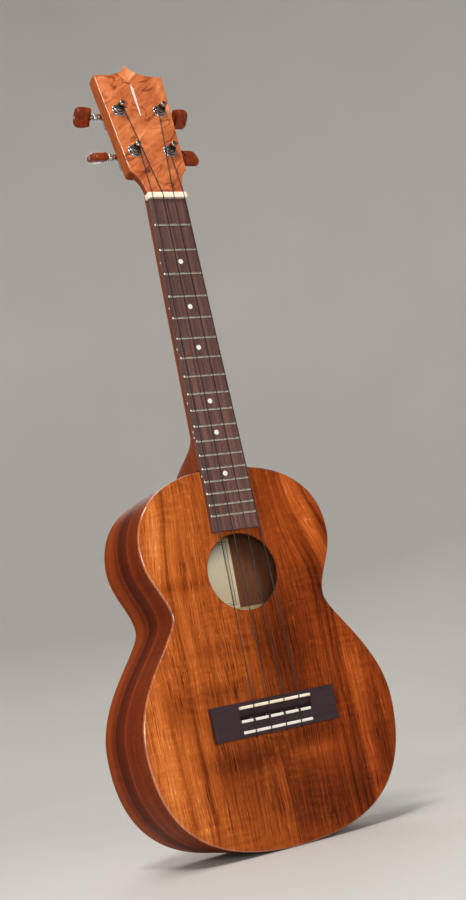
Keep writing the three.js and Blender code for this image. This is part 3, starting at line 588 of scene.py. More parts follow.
def offset(outline, inset):
    """A closed outline of (a, b) points moved inwards; the outline runs anticlockwise."""
    moved = []
    for i, (a, b) in enumerate(outline):
        before = Vector(outline[i - 1])
        after = Vector(outline[(i + 1) % len(outline)])
        here = Vector((a, b))
        first = (here - before).normalized()
        second = (after - here).normalized()
        along = (first + second).normalized()
        miter = min(1 / max(math.sqrt((1 + first.dot(second)) / 2), 0.3), 2)
        moved.append((a - along.y * inset * miter, b + along.x * inset * miter))
    return moved


def rounding(radius, steps=5):
    """(inset, drop) pairs that round an edge off, from the side wall up on to the face."""
    pairs = []
    for i in range(steps + 1):
        angle = math.pi / 2 * i / steps
        pairs.append((radius * (1 - math.cos(angle)), radius * (1 - math.sin(angle))))
    return pairs


def slab(name, outline, low, high, radii, to_point, material, body="instrument", sharp=38):
    """A plate between two levels; radii round off the edges at the low and the high one."""
    low_radius, high_radius = radii
    levels = [(low_radius + RIM, low)]
    levels += [(inset, low + drop) for inset, drop in reversed(rounding(low_radius))]
    levels += [(inset, high - drop) for inset, drop in rounding(high_radius)]
    levels.append((high_radius + RIM, high))
    rings = [[to_point(a, b, level) for a, b in offset(outline, inset)] for inset, level in levels]
    return make(name, *skin(rings), material, body, sharp)


def polar(radius, angle):
    return (radius * math.cos(angle), radius * math.sin(angle))


def turned(profile, to_point, sides):
    """Rings of a profile of (radius, height) points turned about an axis."""
    angles = [2 * math.pi * i / sides for i in range(sides)]
    return [[to_point(*polar(radius, angle), height) for angle in angles] for radius, height in profile]


def lathe(name, profile, to_point, material, body="instrument", sides=40):
    return make(name, *skin(turned(profile, to_point, sides)), material, body)


def swept(path, radius, sides):
    """Rings of a round tube along a path, turned as little as possible from one to the next."""
    rings = []
    normal = None
    for i, here in enumerate(path):
        before = path[max(i - 1, 0)]
        after = path[min(i + 1, len(path) - 1)]
        along = (after - before).normalized()
        if normal is None:
            normal = along.orthogonal().normalized()
        normal = (normal - along * normal.dot(along)).normalized()
        other = along.cross(normal)
        ring = []
        for k in range(sides):
            angle = 2 * math.pi * k / sides
            ring.append(here + (normal * math.cos(angle) + other * math.sin(angle)) * radius)
        rings.append(ring)
    return rings


def bezier(points, steps):
    """Points along a Bezier curve of any degree, leaving out its end."""
    line = []
    for i in range(steps):
        t = i / steps
        level = [Vector(p) for p in points]
        while len(level) > 1:
            level = [a.lerp(b, t) for a, b in zip(level, level[1:])]
        line.append(tuple(level[0]))
    return line


def corner(before, at, after, reach, steps):
    """A small curve in place of the corner at the middle one of three points."""
    here = Vector(at)
    ends = []
    for other in (before, after):
        leg = Vector(other) - here
        ends.append(here + leg.normalized() * min(reach, leg.length * 0.45))
    return [*bezier((ends[0], here, ends[1]), steps), tuple(ends[1])]


def rounded_corners(outline, reach, steps=5):
    """A closed polygon with each corner replaced by a small curve."""
    line = []
    for i, at in enumerate(outline):
        line += corner(outline[i - 1], at, outline[(i + 1) % len(outline)], reach, steps)
    return line


def block(x, y, z):
    """Points and faces of a plain box, for cutting with."""
    points = [(a, b, c) for a in x for b in y for c in z]
    faces = [(0, 1, 3, 2), (4, 6, 7, 5), (0, 4, 5, 1), (2, 3, 7, 6), (0, 2, 6, 4), (1, 5, 7, 3)]
    return points, faces


def divide(piece, seams):
    """Splits a piece's faces along planes, each given as an axis and a place on it in mm."""
    mesh = bmesh.new()
    mesh.from_mesh(piece.data)
    for axis, at in seams:
        on_plane = place((at, at, at))
        normal = [float(letter == axis) for letter in "xyz"]
        everything = [*mesh.verts, *mesh.edges, *mesh.faces]
        bmesh.ops.bisect_plane(mesh, geom=everything, dist=1e-7, plane_co=on_plane, plane_no=normal)
    mesh.to_mesh(piece.data)
    mesh.free()


def cut(piece, shapes, sharp=38, seams=()):
    """Cuts solids, given as points and faces, out of a piece and applies the result.

    Seams through the cuts keep every face that is left free of holes.
    """
    divide(piece, seams)
    tools = []
    for points, faces in shapes:
        tool = make("cutter", points, faces, "bone", None)
        modifier = piece.modifiers.new("cut", "BOOLEAN")
        modifier.operation = "DIFFERENCE"
        modifier.solver = "MANIFOLD"
        modifier.object = tool
        tools.append(tool)
    bpy.context.view_layer.update()
    result = bpy.data.meshes.new_from_object(piece.evaluated_get(bpy.context.evaluated_depsgraph_get()))
    piece.modifiers.clear()
    piece.data = result
    split = bmesh.new()
    split.from_mesh(result)
    many_sided = [face for face in split.faces if len(face.verts) > 4]
    bmesh.ops.triangulate(split, faces=many_sided, ngon_method="EAR_CLIP")
    split.to_mesh(result)
    split.free()
    result.shade_smooth()
    result.set_sharp_from_angle(angle=math.radians(sharp))
    for tool in tools:
        bpy.data.objects.remove(tool)


def second_material(piece, material, chosen):
    """Gives the faces for which chosen(polygon) holds another material."""
    piece.data.materials.append(MATERIALS[material])
    for polygon in piece.data.polygons:
        if chosen(polygon):
            polygon.material_index = 1


def finished(piece, slot, *nodes):
    """Hides the CAD nodes that a piece stands for and gives back the piece; the slot is not used."""
    if nodes:
        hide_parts(*nodes)
    return piece


# ---- body ----
def depth_at(z):
    return mix(DEPTH_AT_NECK, DEPTH_AT_TAIL, (z - BODY_TOP) / (BODY_BOTTOM - BODY_TOP))


SPANS = (
    ((0, BODY_TOP), (62, BODY_TOP), (UPPER_BOUT[0], UPPER_BOUT[1] + 34.7), UPPER_BOUT),
    (UPPER_BOUT, (UPPER_BOUT[0], UPPER_BOUT[1] - 23.2), (WAIST[0], WAIST[1] + 17.2), WAIST),
    (WAIST, (WAIST[0], WAIST[1] - 16), (LOWER_BOUT[0], LOWER_BOUT[1] + 44), LOWER_BOUT),
    (LOWER_BOUT, (LOWER_BOUT[0], LOWER_BOUT[1] - 68.9), (73.4, BODY_BOTTOM), (0, BODY_BOTTOM)),
)
SPAN_STEPS = 40


def half_outline():
    """The treble half of the body's outline, from the neck end round to the tail."""
    line = [point for span in SPANS for point in bezier(span, SPAN_STEPS)]
    return [*line, (0, BODY_BOTTOM)]


HALF = half_outline()
OUTLINE = [*[(-x, z) for x, z in HALF], *HALF[-2:0:-1]]  # anticlockwise as seen from the front


def soundboard():
    radius = 1.1
    edge_steps = 6
    hole_edge = 0.5
    rings = [offset_ring(inset, drop) for inset, drop in rounding(radius, edge_steps)]
    flat = offset_ring(radius + RIM, 0)
    rings.append(flat)
    brim = hole_ring(HOLE_RADIUS + hole_edge + RIM, 0)
    for share in (0.2, 0.4, 0.6, 0.8):
        rings.append([tuple(Vector(a).lerp(Vector(b), share)) for a, b in zip(flat, brim)])
    rings.append(brim)
    for inset, drop in reversed(rounding(hole_edge, 4)):
        rings.append(hole_ring(HOLE_RADIUS + inset, drop))
    rings.append(hole_ring(HOLE_RADIUS, PLATE))
    rings.append(offset_ring(0, PLATE))
    piece = make("top", *skin(rings, closed_loop=True), "koa_top")
    second_material(piece, "koa_edge", lambda face: face.index < edge_steps * len(OUTLINE))
    finished(piece, "koa_top", "soundboard")


def offset_ring(inset, y):
    return [(x, y, z) for x, z in offset(OUTLINE, inset)]


def hole_ring(radius, y):
    """A ring round the sound hole whose points lie in the directions of the outline's points."""
    ring = []
    for x, z in OUTLINE:
        away = Vector((x, z - HOLE_Z)).normalized() * radius
        ring.append((away.x, y, HOLE_Z + away.y))
    return ring


def back():
    radius = 1.3
    middle_z = -395

    def ring(inset, lift):
        return [(x, depth_at(z) - lift, z) for x, z in offset(OUTLINE, inset)]

    def drawn_in(points, share, lift):
        drawn = [(x * share, mix(middle_z, z, share)) for x, _, z in points]
        return [(x, depth_at(z) - lift, z) for x, z in drawn]

    shares = (0.04, 0.35, 0.65, 0.9)
    inner = ring(0, PLATE)
    rings = [drawn_in(inner, share, PLATE) for share in shares]
    rings.append(inner)
    rings += [ring(inset, drop) for inset, drop in rounding(radius)]
    flat = ring(radius + RIM, 0)
    rings.append(flat)
    rings += [drawn_in(flat, share, 0) for share in reversed(shares)]
    piece = make("back_plate", *skin(rings), "back")
    second_material(piece, "inside", lambda face: face.normal.y < -0.5)
    finished(piece, "koa_side", "back")


def side(name, sign):
    """One bent side, from the neck end to the tail, with its grain running round the body."""
    front = PLATE + GAP
    shares = (0, 0.1, 0.3, 0.5, 0.7, 0.9, 1)
    inner_line = offset(OUTLINE, SIDE)[: len(HALF)]
    rings = []
    grain = []
    travelled = 0
    for i, (x, z) in enumerate(HALF):
        if i:
            travelled += (Vector((x, z)) - Vector(HALF[i - 1])).length
        rear = depth_at(z) - PLATE - GAP
        inner_x, inner_z = -inner_line[i][0], inner_line[i][1]
        ring = [(sign * x, mix(front, rear, s), z) for s in shares]
        ring += [(sign * max(inner_x, 0), mix(front, rear, s), inner_z) for s in reversed(shares)]
        rings.append(ring)
        grain += [(travelled, mix(front, rear, s), 0) for s in (*shares, *reversed(shares))]
    piece = make(f"{name}_rib", *skin(rings), "koa_side", grain=grain)
    around = 2 * len(shares)
    second_material(piece, "inside", lambda face: face.index % around >= len(shares))
    finished(piece, "koa_side", name)


# ---- fingerboard, frets and nut ----
def fret_z(n):
    return -SCALE * (1 - 2 ** (-n / 12))


def board_half(z):
    return mix(BOARD_HALF_AT_NUT, BOARD_HALF_AT_LAST_FRET, z / fret_z(FRETS))


def fingerboard():
    edge = 0.35
    rings = []
    for z, shrink in ((-GAP, edge), (-GAP - edge, 0), (BOARD_END + edge, 0), (BOARD_END, edge)):
        half = board_half(z) - shrink
        front = BOARD_FRONT + shrink
        ring = [(-half, -GAP), (-half, front + edge), (-half + edge, front)]
        ring += [(half - edge, front), (half, front + edge), (half, -GAP)]
        rings.append([(x, y, z) for x, y in ring])
    piece = make("fretboard", *skin(rings), "rosewood")
    finished(piece, "rosewood", "fingerboard")


FRET_STEPS = 12


def fret(n):
    """A domed wire whose ends slope in and are rounded over."""
    z = fret_z(n)
    half = board_half(z) - 0.15
    high = 1.0
    wide = 1.15
    base = BOARD_FRONT + 0.05
    ends = ((0.0, 0.12), (0.12, 0.45), (0.35, 0.75), (0.7, 0.94), (1.2, 1.0))
    stations = [(-half + inward, scale) for inward, scale in ends]
    stations += [(half - inward, scale) for inward, scale in reversed(ends)]
    rings = []
    for x, scale in stations:
        ring = []
        for i in range(FRET_STEPS + 1):
            angle = math.pi * i / FRET_STEPS
            width = wide * mix(0.75, 1, scale)
            ring.append((x, base - high * scale * math.sin(angle), z - width * math.cos(angle)))
        rings.append(ring)
    piece = make(f"fret_wire_{n:02d}", *skin(rings), "nickel", sharp=60)
    finished(piece, "nickel_silver", f"fret_{n:02d}")


DOTTED_FRETS = (3, 5, 7, 10, 12, 15)


def position_dots():
    for n in DOTTED_FRETS:
        z = (fret_z(n - 1) + fret_z(n)) / 2
        disc = ((0, 0.6), (2.2, 0.6), (2.2, 0.02), (2.1, -0.04), (0, -0.06))
        dot = lathe(
            f"dot_{n:02d}", disc, lambda a, b, h, z=z: (a, BOARD_FRONT + h, z + b), "pearl", sides=32)
        finished(dot, "bone")
        for k, shift in enumerate((-2.4, 2.4) if n == 12 else (0,)):
            at = z + shift
            edge = -board_half(at)
            disc = ((0, 0.5), (0.9, 0.5), (0.9, -0.01), (0, -0.03))
            side_dot = lathe(
                f"side_dot_{n:02d}_{k}", disc,
                lambda a, b, h, at=at, edge=edge: (edge + h, BOARD_FRONT + 2.1 + a, at + b),
                "pearl", sides=20)
            finished(side_dot, "bone")


def nut():
    round_off = 2.4
    shoulder = NUT_FRONT + round_off
    inward = NUT_HALF - round_off
    outline = [(NUT_HALF, -GAP), (-NUT_HALF, -GAP)]
    outline += bezier(((-NUT_HALF, shoulder), (-NUT_HALF, NUT_FRONT), (-inward, NUT_FRONT)), 8)
    outline.append((-inward, NUT_FRONT))
    outline += bezier(((inward, NUT_FRONT), (NUT_HALF, NUT_FRONT), (NUT_HALF, shoulder)), 8)
    outline.append((NUT_HALF, shoulder))
    piece = slab("nut_bone", outline, 0, NUT_LENGTH, (0.4, 0.9), lambda x, y, z: (x, y, z), "bone")
    notches = []
    for x in NUT_STRINGS:
        path = [Vector((x, NUT_STRING_Y, -1)), Vector((x, NUT_STRING_Y, NUT_LENGTH + 1))]
        notches.append(skin(swept(path, STRING_RADIUS + 0.06, 16)))
        notches.append(block((x - 0.48, x + 0.48), (NUT_FRONT - 1, NUT_STRING_Y), (-1, NUT_LENGTH + 1)))
    cut(piece, notches)
    finished(piece, "bone", "nut")


# ---- bridge ----
def bar(name, x_half, z_middle, z_half, front, back_y, radius, material, slot_name, node):
    """A bar across the body whose front edges and corners are rounded off."""
    outline = [(x_half, z_middle + z_half), (-x_half, z_middle + z_half)]
    outline += [(-x_half, z_middle - z_half), (x_half, z_middle - z_half)]
    rounded = rounded_corners(outline, min(z_half * 0.6, 1.0))
    piece = slab(name, rounded, -back_y, -front, (0.1, radius), lambda x, z, h: (x, -h, z), material)
    return finished(piece, slot_name, node)


def bridge():
    middle = (BRIDGE_TOP + BRIDGE_BOTTOM) / 2
    half = (BRIDGE_TOP - BRIDGE_BOTTOM) / 2
    piece = bar(
        "bridge_block", BRIDGE_HALF, middle, half, BRIDGE_FRONT, GAP, 0.5, "bridge", "rosewood", "bridge")
    slot_half = 1.35
    above = BRIDGE_FRONT - 1  # clear of the bridge's face, where each cutter starts
    shapes = [block((-32.3, 32.3), (above, -2.7), (SADDLE_Z - slot_half, SADDLE_Z + slot_half))]
    ramp_top = SADDLE_Z - 2.2
    ramp = [(ramp_top, above), (ramp_top, BRIDGE_FRONT + 0.3), (TIE_WALL, -1.9), (TIE_WALL, above)]
    ramp_half = STRIP_HALF + 1
    shapes.append(skin([[(x, y, z) for z, y in ramp] for x in (-ramp_half, ramp_half)]))
    groove_half = STRIP_HALF + 0.1
    for _, z in STRIPS:
        shapes.append(block((-groove_half, groove_half), (above, -4.8), (z - 1.2, z + 1.2)))
    rows = [("z", at) for at in (SADDLE_Z, -439, TIE_WALL - 0.2, *[z for _, z in STRIPS])]
    columns = [("x", at) for at in (-33.4, *SADDLE_STRINGS, 33.4)]
    cut(piece, shapes, 20, [*rows, *columns])
    holes = []
    for x in SADDLE_STRINGS:
        path = [Vector((x, TIE_HOLE_Y, BRIDGE_BOTTOM - 1)), Vector((x, TIE_HOLE_Y, TIE_WALL + 1))]
        holes.append(skin(swept(path, 0.9, 20)))
    cut(piece, holes, 20, [*columns, ("y", TIE_HOLE_Y)])
    for name, z in STRIPS:
        bar(f"{name}_bar", STRIP_HALF, z, 1.12, STRIP_FRONT, -4.9, 0.45, "strip", "bone", name)
    bar("saddle_bone", 32, SADDLE_Z, 1.2, -9.95, -2.8, 0.95, "bone", "bone", "saddle")


# ---- neck and headstock ----
HEAD_UP = Vector((0, math.sin(HEAD_TILT), math.cos(HEAD_TILT)))
HEAD_FRONT = Vector((0, -math.cos(HEAD_TILT), math.sin(HEAD_TILT)))


def on_head(x, up, front):
    """A point given across, up and out of the headstock's face."""
    return HEAD_BASE + Vector((x, 0, 0)) + HEAD_UP * up + HEAD_FRONT * front


HEAD_NECK = (17.5, 1.7)
HEAD_SWEEP = (18.6, 18.5)
HEAD_EAR = (26.1, 25.1)
HEAD_SHOULDER = (27, 26)
HEAD_FLANK = (27.1, 27.8)
HEAD_DIP = (8, 127)
HEAD_CORNER = (33.2, 129)
HEAD_PEAK = 140.8
SQUARE = 26  # the power at which a section's curve is all but a rectangle


def head_side():
    """The treble edge of the headstock, from the nut to its top corner."""
    line = bezier((HEAD_NECK, HEAD_SWEEP, HEAD_EAR), 16)
    line += bezier((HEAD_EAR, HEAD_SHOULDER, HEAD_FLANK), 6)
    return line + bezier((HEAD_FLANK, HEAD_CORNER), 20)


def head_top():
    """The treble half of the headstock's end, from its corner to the peak."""
    return bezier((HEAD_CORNER, HEAD_DIP, (0, HEAD_PEAK)), 24)


def head_outline():
    right = [*head_side(), *head_top()]
    return [*right, (0, HEAD_PEAK), *[(-x, up) for x, up in reversed(right)]]


def tuner_bores(low, high):
    """Round cutters through the headstock at the four posts."""
    shapes = []
    for _, x, up, _, _ in TUNERS:
        profile = ((0, low), (4.4, low), (4.4, high), (0, high))
        shapes.append(skin(turned(profile, lambda a, b, h, x=x, up=up: on_head(x + a, up + b, h), 32)))
    return shapes


def headplate():
    outline = head_outline()
    piece = slab("headplate_veneer", outline, -VENEER, 0, (0.02, 0.55), on_head, "veneer", sharp=30)
    rounded = range(8 * len(outline), 13 * len(outline))  # bands of the front edge's rounding and rim
    second_material(piece, "veneer_edge", lambda face: face.index in rounded)
    seams = [("x", row[1]) for row in TUNERS]
    cut(piece, tuner_bores(-VENEER - 1, 1), 30, seams)
    finished(piece, "veneer", "headplate")
    taper = [(1.25, 114), (0, 120), (-1.25, 114), (-0.45, 84), (0.45, 84)]
    inlay = slab("headstock_inlay", rounded_corners(taper, 0.8), -0.5, 0.03, (0.02, 0.02), on_head, "pearl")
    finished(inlay, "bone")


def neck():
    """Shaft, heel and headstock as one loft of sections with a flat front and a rounded rear."""
    around = 30
    rings = []

    def section(front_middle, rearward, half, deep, power, limit=None):
        ring = []
        for i in range(around + 1):
            angle = math.pi * i / around
            cosine = math.cos(angle)
            across = math.copysign(abs(cosine) ** (2 / power), cosine) * half
            back_by = math.sin(angle) ** (2 / power) * deep
            if limit is not None:
                back_by = min(back_by, limit)
            ring.append(front_middle + Vector((across, 0, 0)) + rearward * back_by)
        rings.append(ring)

    heel_rear = 70
    heel_from = -209
    heel_to = -236
    shaft_top = -6
    shaft_deep = 14
    shaft_power = 2.5
    level = Vector((0, 1, 0))
    heights = [BODY_TOP + GAP]
    while heights[-1] < heel_from:
        heights.append(heights[-1] + 0.9)
    while heights[-1] < shaft_top:
        heights.append(min(heights[-1] + 12, shaft_top))
    for z in heights:
        heel = smoothstep(-z, -heel_from, -heel_to)
        deep = mix(shaft_deep - z * 0.008, heel_rear + 4, heel)
        section(Vector((0, 0, z)), level, board_half(z), deep, shaft_power, heel_rear)

    tilted = -HEAD_FRONT
    wood_front = -VENEER
    slab_deep = HEAD_THICK - VENEER
    ear = HEAD_EAR[1]
    steps = 26
    for i in range(steps + 1):
        up = mix(-2, ear - 0.9, i / steps)
        rearward = level.lerp(tilted, smoothstep(up, -4, 12)).normalized()
        over_nut = smoothstep(up, 0.9, 1.6)
        middle = Vector((0, 0, HEAD_BASE.z + up)).lerp(on_head(0, up, wood_front), over_nut)
        deep = mix(shaft_deep, slab_deep, smoothstep(up, -2, ear))
        power = mix(shaft_power, 3.2, smoothstep(up, 12, ear))
        section(middle, rearward, head_width(up), deep, power)
    ear_sections = ((-0.35, 7, 0.5), (-0.05, 14, 0.15), (0.4, 20, 0), (1.5, SQUARE, 0))
    for past_ear, power, inset in ear_sections:
        up = ear + past_ear
        section(on_head(0, up, wood_front), tilted, head_width(up) - inset, slab_deep, power)
    for up in (34, 50, 70, 90, 110, 124):
        section(on_head(0, up, wood_front), tilted, head_width(up), slab_deep, SQUARE)
    for x, up in head_top():
        up_here = max(up, HEAD_CORNER[1])
        nudge = 0.001 * (HEAD_CORNER[0] - x)
        section(on_head(0, up_here + nudge, wood_front), tilted, x, slab_deep, SQUARE)
    section(on_head(0, HEAD_PEAK, wood_front), tilted, 0.15, slab_deep, SQUARE)
    piece = make("neck_wood", *skin(rings), "neck", sharp=32)
    cut(piece, tuner_bores(-HEAD_THICK - 2, 0), 32, [("x", 18.4), ("x", -18.4)])
    finished(piece, "mahogany", "neck")


def head_width(up):
    """Half the headstock's width at a height, up to its top corners."""
    if up <= HEAD_NECK[1]:
        return min(board_half(up + 4), HEAD_NECK[0])
    line = [*head_side(), head_top()[0]]
    for (x0, up0), (x1, up1) in zip(line, line[1:]):
        if up0 <= up <= up1:
            return mix(x0, x1, (up - up0) / max(up1 - up0, 1e-6))
    return HEAD_CORNER[0]


# ---- tuning machines ----
def tuner(name, x, up, turn):
    """One machine: bushing, post and wheel, housing, worm shaft and button."""
    out = 1 if x > 0 else -1

    def fixed(a, b, c):
        """Local axes: a outwards along the shaft, b up the headstock, c to the front."""
        return on_head(x + out * a, up + b, c)

    def about_shaft(a, b, outwards):
        return fixed(outwards, SHAFT_UP + a, SHAFT_FRONT + b)

    washer = ((3.5, GAP), (6.2, GAP), (6.3, 0.3), (6.1, 0.7), (5.6, 0.95), (5.2, 1.0), (3.5, 1.0))
    finished(ring_piece(f"{name}_washer", washer, fixed), "chrome", f"{name}_bushing")
    hexagon(f"{name}_hex_nut", fixed)
    sleeve = ((BUSHING_BORE, -9), (4.1, -9), (4.1, 0.5), (BUSHING_BORE, 0.5))
    finished(ring_piece(f"{name}_sleeve", sleeve, fixed), "chrome")

    post = (
        (0, -21.25), (1.9, -21.25), (1.9, -15.65), (3.15, -15.25), (3.15, 2.9), (2.95, 3.4), (2.4, 3.9),
        (POST_WAIST_RADIUS, 4.3), (POST_WAIST_RADIUS, 8.4), (2.45, 8.9), (2.7, 9.3), (2.78, 9.7),
        (2.78, 10.6), (2.62, 11.1), (2.3, 11.5), (1.7, 11.8), (0.8, 11.95), (0, 11.98),
    )
    post_body = f"{name}_post"
    piece = lathe(f"{name}_post_steel", post, fixed, "cap", post_body)
    finished(piece, "chrome", f"{name}_string_post")
    gear(f"{name}_worm_wheel", fixed, post_body)

    housing(name, fixed, about_shaft)
    knob_body = f"{name}_knob"
    shaft = (
        (0, -5.4), (1.7, -5.4), (1.7, 5.2), (1.65, 5.4), (1.65, 17.65), (2.3, 17.7), (2.6, 17.95),
        (2.6, 19.5), (2.4, 19.75), (1.65, 19.8), (1.65, 32), (0, 32),
    )
    piece = lathe(f"{name}_shaft_steel", shaft, about_shaft, "chrome", knob_body)
    finished(piece, "chrome", f"{name}_worm_shaft")
    worm_thread(f"{name}_worm_thread", about_shaft, knob_body)
    button(name, turn, out, about_shaft, knob_body)


def ring_piece(name, profile, to_point):
    """A closed ring of smoked chrome: the profile is turned and its ends joined."""
    return make(name, *skin(turned(profile, to_point, 48), closed_loop=True), "smoked")


def hexagon(name, to_point):
    """A chamfered hexagonal nut with a round bore."""
    across = 5.3
    rings = []
    sides = 48
    for scale, height in ((1, 0.95), (1, 2.45), (0.985, 2.7), (0.94, 2.95)):
        ring = []
        for i in range(sides):
            angle = 2 * math.pi * i / sides
            to_flat = (angle % (math.pi / 3)) - math.pi / 6
            radius = across * math.cos(math.pi / 6) / math.cos(to_flat)
            ring.append(to_point(*polar(min(radius, across * 0.975) * scale, angle), height))
        rings.append(ring)
    bore = ((3.9, 3.05), (3.6, 2.95), (BUSHING_BORE, 2.7), (BUSHING_BORE, 0.95))
    rings += turned(bore, to_point, sides)
    finished(make(name, *skin(rings, closed_loop=True), "smoked", sharp=24), "chrome")


def gear(name, fixed, body):
    """The worm wheel on the post."""
    outer = 3.85
    root = 3.0
    outline = []
    for i in range(WHEEL_TEETH):
        middle = math.pi / 2 + (i + 0.5) * 2 * math.pi / WHEEL_TEETH
        for turn, radius in ((-0.24, root), (-0.11, outer), (0.11, outer), (0.24, root)):
            outline.append(polar(radius, middle + turn * 2 * math.pi / WHEEL_TEETH))
    piece = slab(name, outline, -19.25, -16.05, (0.12, 0.12), fixed, "brass", body)
    finished(piece, "chrome")


def worm_thread(name, about_shaft, body):
    turns = 2.4
    pitch = math.pi * GEAR_MODULE
    pitch_radius = 2.12
    path = []
    steps = 72
    for i in range(steps + 1):
        turn = turns * (i / steps - 0.5)
        angle = 2 * math.pi * turn
        path.append(Vector(about_shaft(*polar(-pitch_radius, angle), turn * pitch)))
    piece = make(name, *skin(swept(path, 0.45, 8)), "chrome", body)
    finished(piece, "chrome")


def housing(name, fixed, about_shaft):
    """A die-cast cover with a collar round the shaft and a screw in its rear."""
    low, high, half = -6.8, 11.2, 7.5
    outline = rounded_corners([(half, high), (-half, high), (-half, low), (half, low)], 3.2, 6)
    piece = slab(f"{name}_cover", outline, -22.75, -HEAD_THICK - GAP, (1.4, 0.1), fixed, "chrome")
    finished(piece, "chrome", f"{name}_housing")
    collar = ((0, 5), (3.3, 5), (3.3, 12.6), (3.0, 12.9), (3.0, 13.7), (3.3, 14.0), (3.3, 17.0),
              (3.0, 17.4), (1.8, 17.4), (1.8, 16), (0, 16))
    finished(lathe(f"{name}_collar", collar, about_shaft, "chrome"), "chrome")
    head = ((0, -23.55), (1.2, -23.5), (1.9, -23.25), (2.2, -22.65), (0, -22.65))
    screw_up = 2.2
    screw = lathe(
        f"{name}_cover_screw", head, lambda a, b, h: fixed(a, b + screw_up, h), "nickel", sides=32)
    points, faces = block((-1.6, 1.6), (-0.25, 0.25), (-24, -23.15))
    slot_points = [fixed(a, screw_up + b, c) for a, b, c in points]
    cross_points = [fixed(b, screw_up + a, c) for a, b, c in points]
    cut(screw, [(slot_points, faces), (cross_points, faces)])
    finished(screw, "chrome")


def button(name, turn, out, about_shaft, body):
    """A thick koa keystone with a softly crowned face, held by a screw in its end."""
    start = 20.0
    length = 15.5
    half = 9.4
    shoulder = (1.6, -half * 0.92)
    widest = (length * 0.7, -half * 0.99)
    tip = (length, -half * 0.32)
    lower = [
        *bezier(((0, -half * 0.8), (0.2, -half * 0.93), shoulder), 5),
        *bezier((shoulder, (length * 0.45, -half * 1.04), widest), 8),
        *bezier((widest, (length * 0.98, -half * 0.93), tip), 10),
        tip,
    ]
    outline = [*lower, *[(a, -b) for a, b in reversed(lower)]]
    angle = math.radians(turn)

    def turned_point(a, b, thick):
        up = b * math.cos(angle) - thick * math.sin(angle)
        front = b * math.sin(angle) + thick * math.cos(angle)
        return about_shaft(up, front, start + a)

    thick = 3.8
    profile = [(3.4, 0.0), (2.1, 0.32), (1.25, 0.75), (0.7, 1.25), (0.22, 2.1), (0.0, 3.0)]
    levels = [(inset, -thick + drop) for inset, drop in profile]
    levels += [(inset, thick - drop) for inset, drop in reversed(profile)]
    rings = [[turned_point(a, b, level) for a, b in offset(outline, inset)] for inset, level in levels]
    piece = make(f"{name}_knob_wood", *skin(rings), "button", body, sharp=50)
    recess = ((0, 34.6), (2.3, 34.6), (2.3, 40), (0, 40))
    cut(piece, [skin(turned(recess, about_shaft, 32))], 50)
    finished(piece, "button_wood", f"{name}_button")
    head = ((0, 34.3), (1.9, 34.3), (1.9, 35.1), (1.5, 35.5), (0.8, 35.7), (0, 35.75))
    screw = lathe(f"{name}_knob_screw", head, about_shaft, "nickel", body, sides=28)
    finished(screw, "chrome")


# ---- strings ----
def eased(points):
    """A path with its corners rounded off over a short reach."""
    path = [points[0]]
    for before, here, after in zip(points, points[1:], points[2:]):
        path += [Vector(p) for p in corner(before, here, after, 0.7, 4)]
    return [*path, points[-1]]


def knot_route(x):
    """From the tied end over the strips, through the tie hole and up to the saddle."""
    beside = 0.52
    top = STRIP_FRONT - STRING_RADIUS - 0.15
    behind = BRIDGE_BOTTOM - STRING_RADIUS - 0.2
    stations = (
        (x + beside, top, -452), (x + beside, top, -444.1), (x + beside, top + 0.4, -443.15),
        (x + beside * 0.8, top + 1.2, -442.7), (x, top + 1.6, -442.4),
        (x - beside * 0.8, top + 1.2, -442.7), (x - beside, top + 0.4, -443.15),
        (x - beside, top, -444.1), (x - beside, top, -457.3),
        (x - beside, top + 0.4, behind), (x - beside * 0.7, top + 1.6, behind - 0.2),
        (x, TIE_HOLE_Y - 1.0, behind - 0.2), (x, TIE_HOLE_Y - 0.2, behind), (x, TIE_HOLE_Y, -457.2),
        (x, TIE_HOLE_Y, -445), (x, TIE_HOLE_Y - 0.35, -443.2), (x, SADDLE_STRING_Y + 0.75, -435.85),
        (x, SADDLE_STRING_Y, SADDLE_Z),
    )
    return [Vector(station) for station in stations]


def coil_route(x, up):
    """Turns round the post's waist, ending in a short tail."""
    turn = 1 if x < 0 else -1
    start = 0 if x < 0 else math.pi
    turns = 2.75 if x < 0 else 2.25
    radius = POST_WAIST_RADIUS + STRING_RADIUS + 0.25
    foot = 4.7
    pitch = 0.93
    steps = 30
    path = []
    for i in range(round(turns * steps) + 1):
        round_by = i / steps
        angle = start + turn * 2 * math.pi * round_by
        across, along = polar(radius, angle)
        path.append(on_head(x + across, up + along, foot + pitch * round_by))
    end = path[-1]
    path.append(end + Vector((5, 0, 0)) + HEAD_FRONT * 0.8)
    return path


def string(index, x, up):
    over_nut = [Vector((NUT_STRINGS[index], NUT_STRING_Y, z)) for z in (0.4, NUT_LENGTH - 0.4)]
    path = eased([*knot_route(SADDLE_STRINGS[index]), *over_nut, *coil_route(x, up)])
    piece = make(f"string_line_{index + 1}", *skin(swept(path, STRING_RADIUS, 12)), "nylon", sharp=60)
    finished(piece, "nylon", f"string_{index + 1}")


# ---- build it ----
soundboard()
back()
side("bass_side", -1)
side("treble_side", 1)
fingerboard()
for number in range(1, FRETS + 1):
    fret(number)
position_dots()
nut()
bridge()
headplate()
neck()
for tuner_name, across, up_head, rest_turn, string_index in TUNERS:
    tuner(tuner_name, across, up_head, rest_turn)
    string(string_index, across, up_head)

CARRIED = {
    "head_block": "neck",
    "tail_block": "neck",
    "top_bracing": "spruce",
    "back_brace_waist": "spruce",
    "back_brace_lower": "spruce",
    "label": "paper",
}
for node, material in CARRIED.items():
    cad_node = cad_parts[node]
    cad_node.data.materials.clear()
    cad_node.data.materials.append(MATERIALS[material])


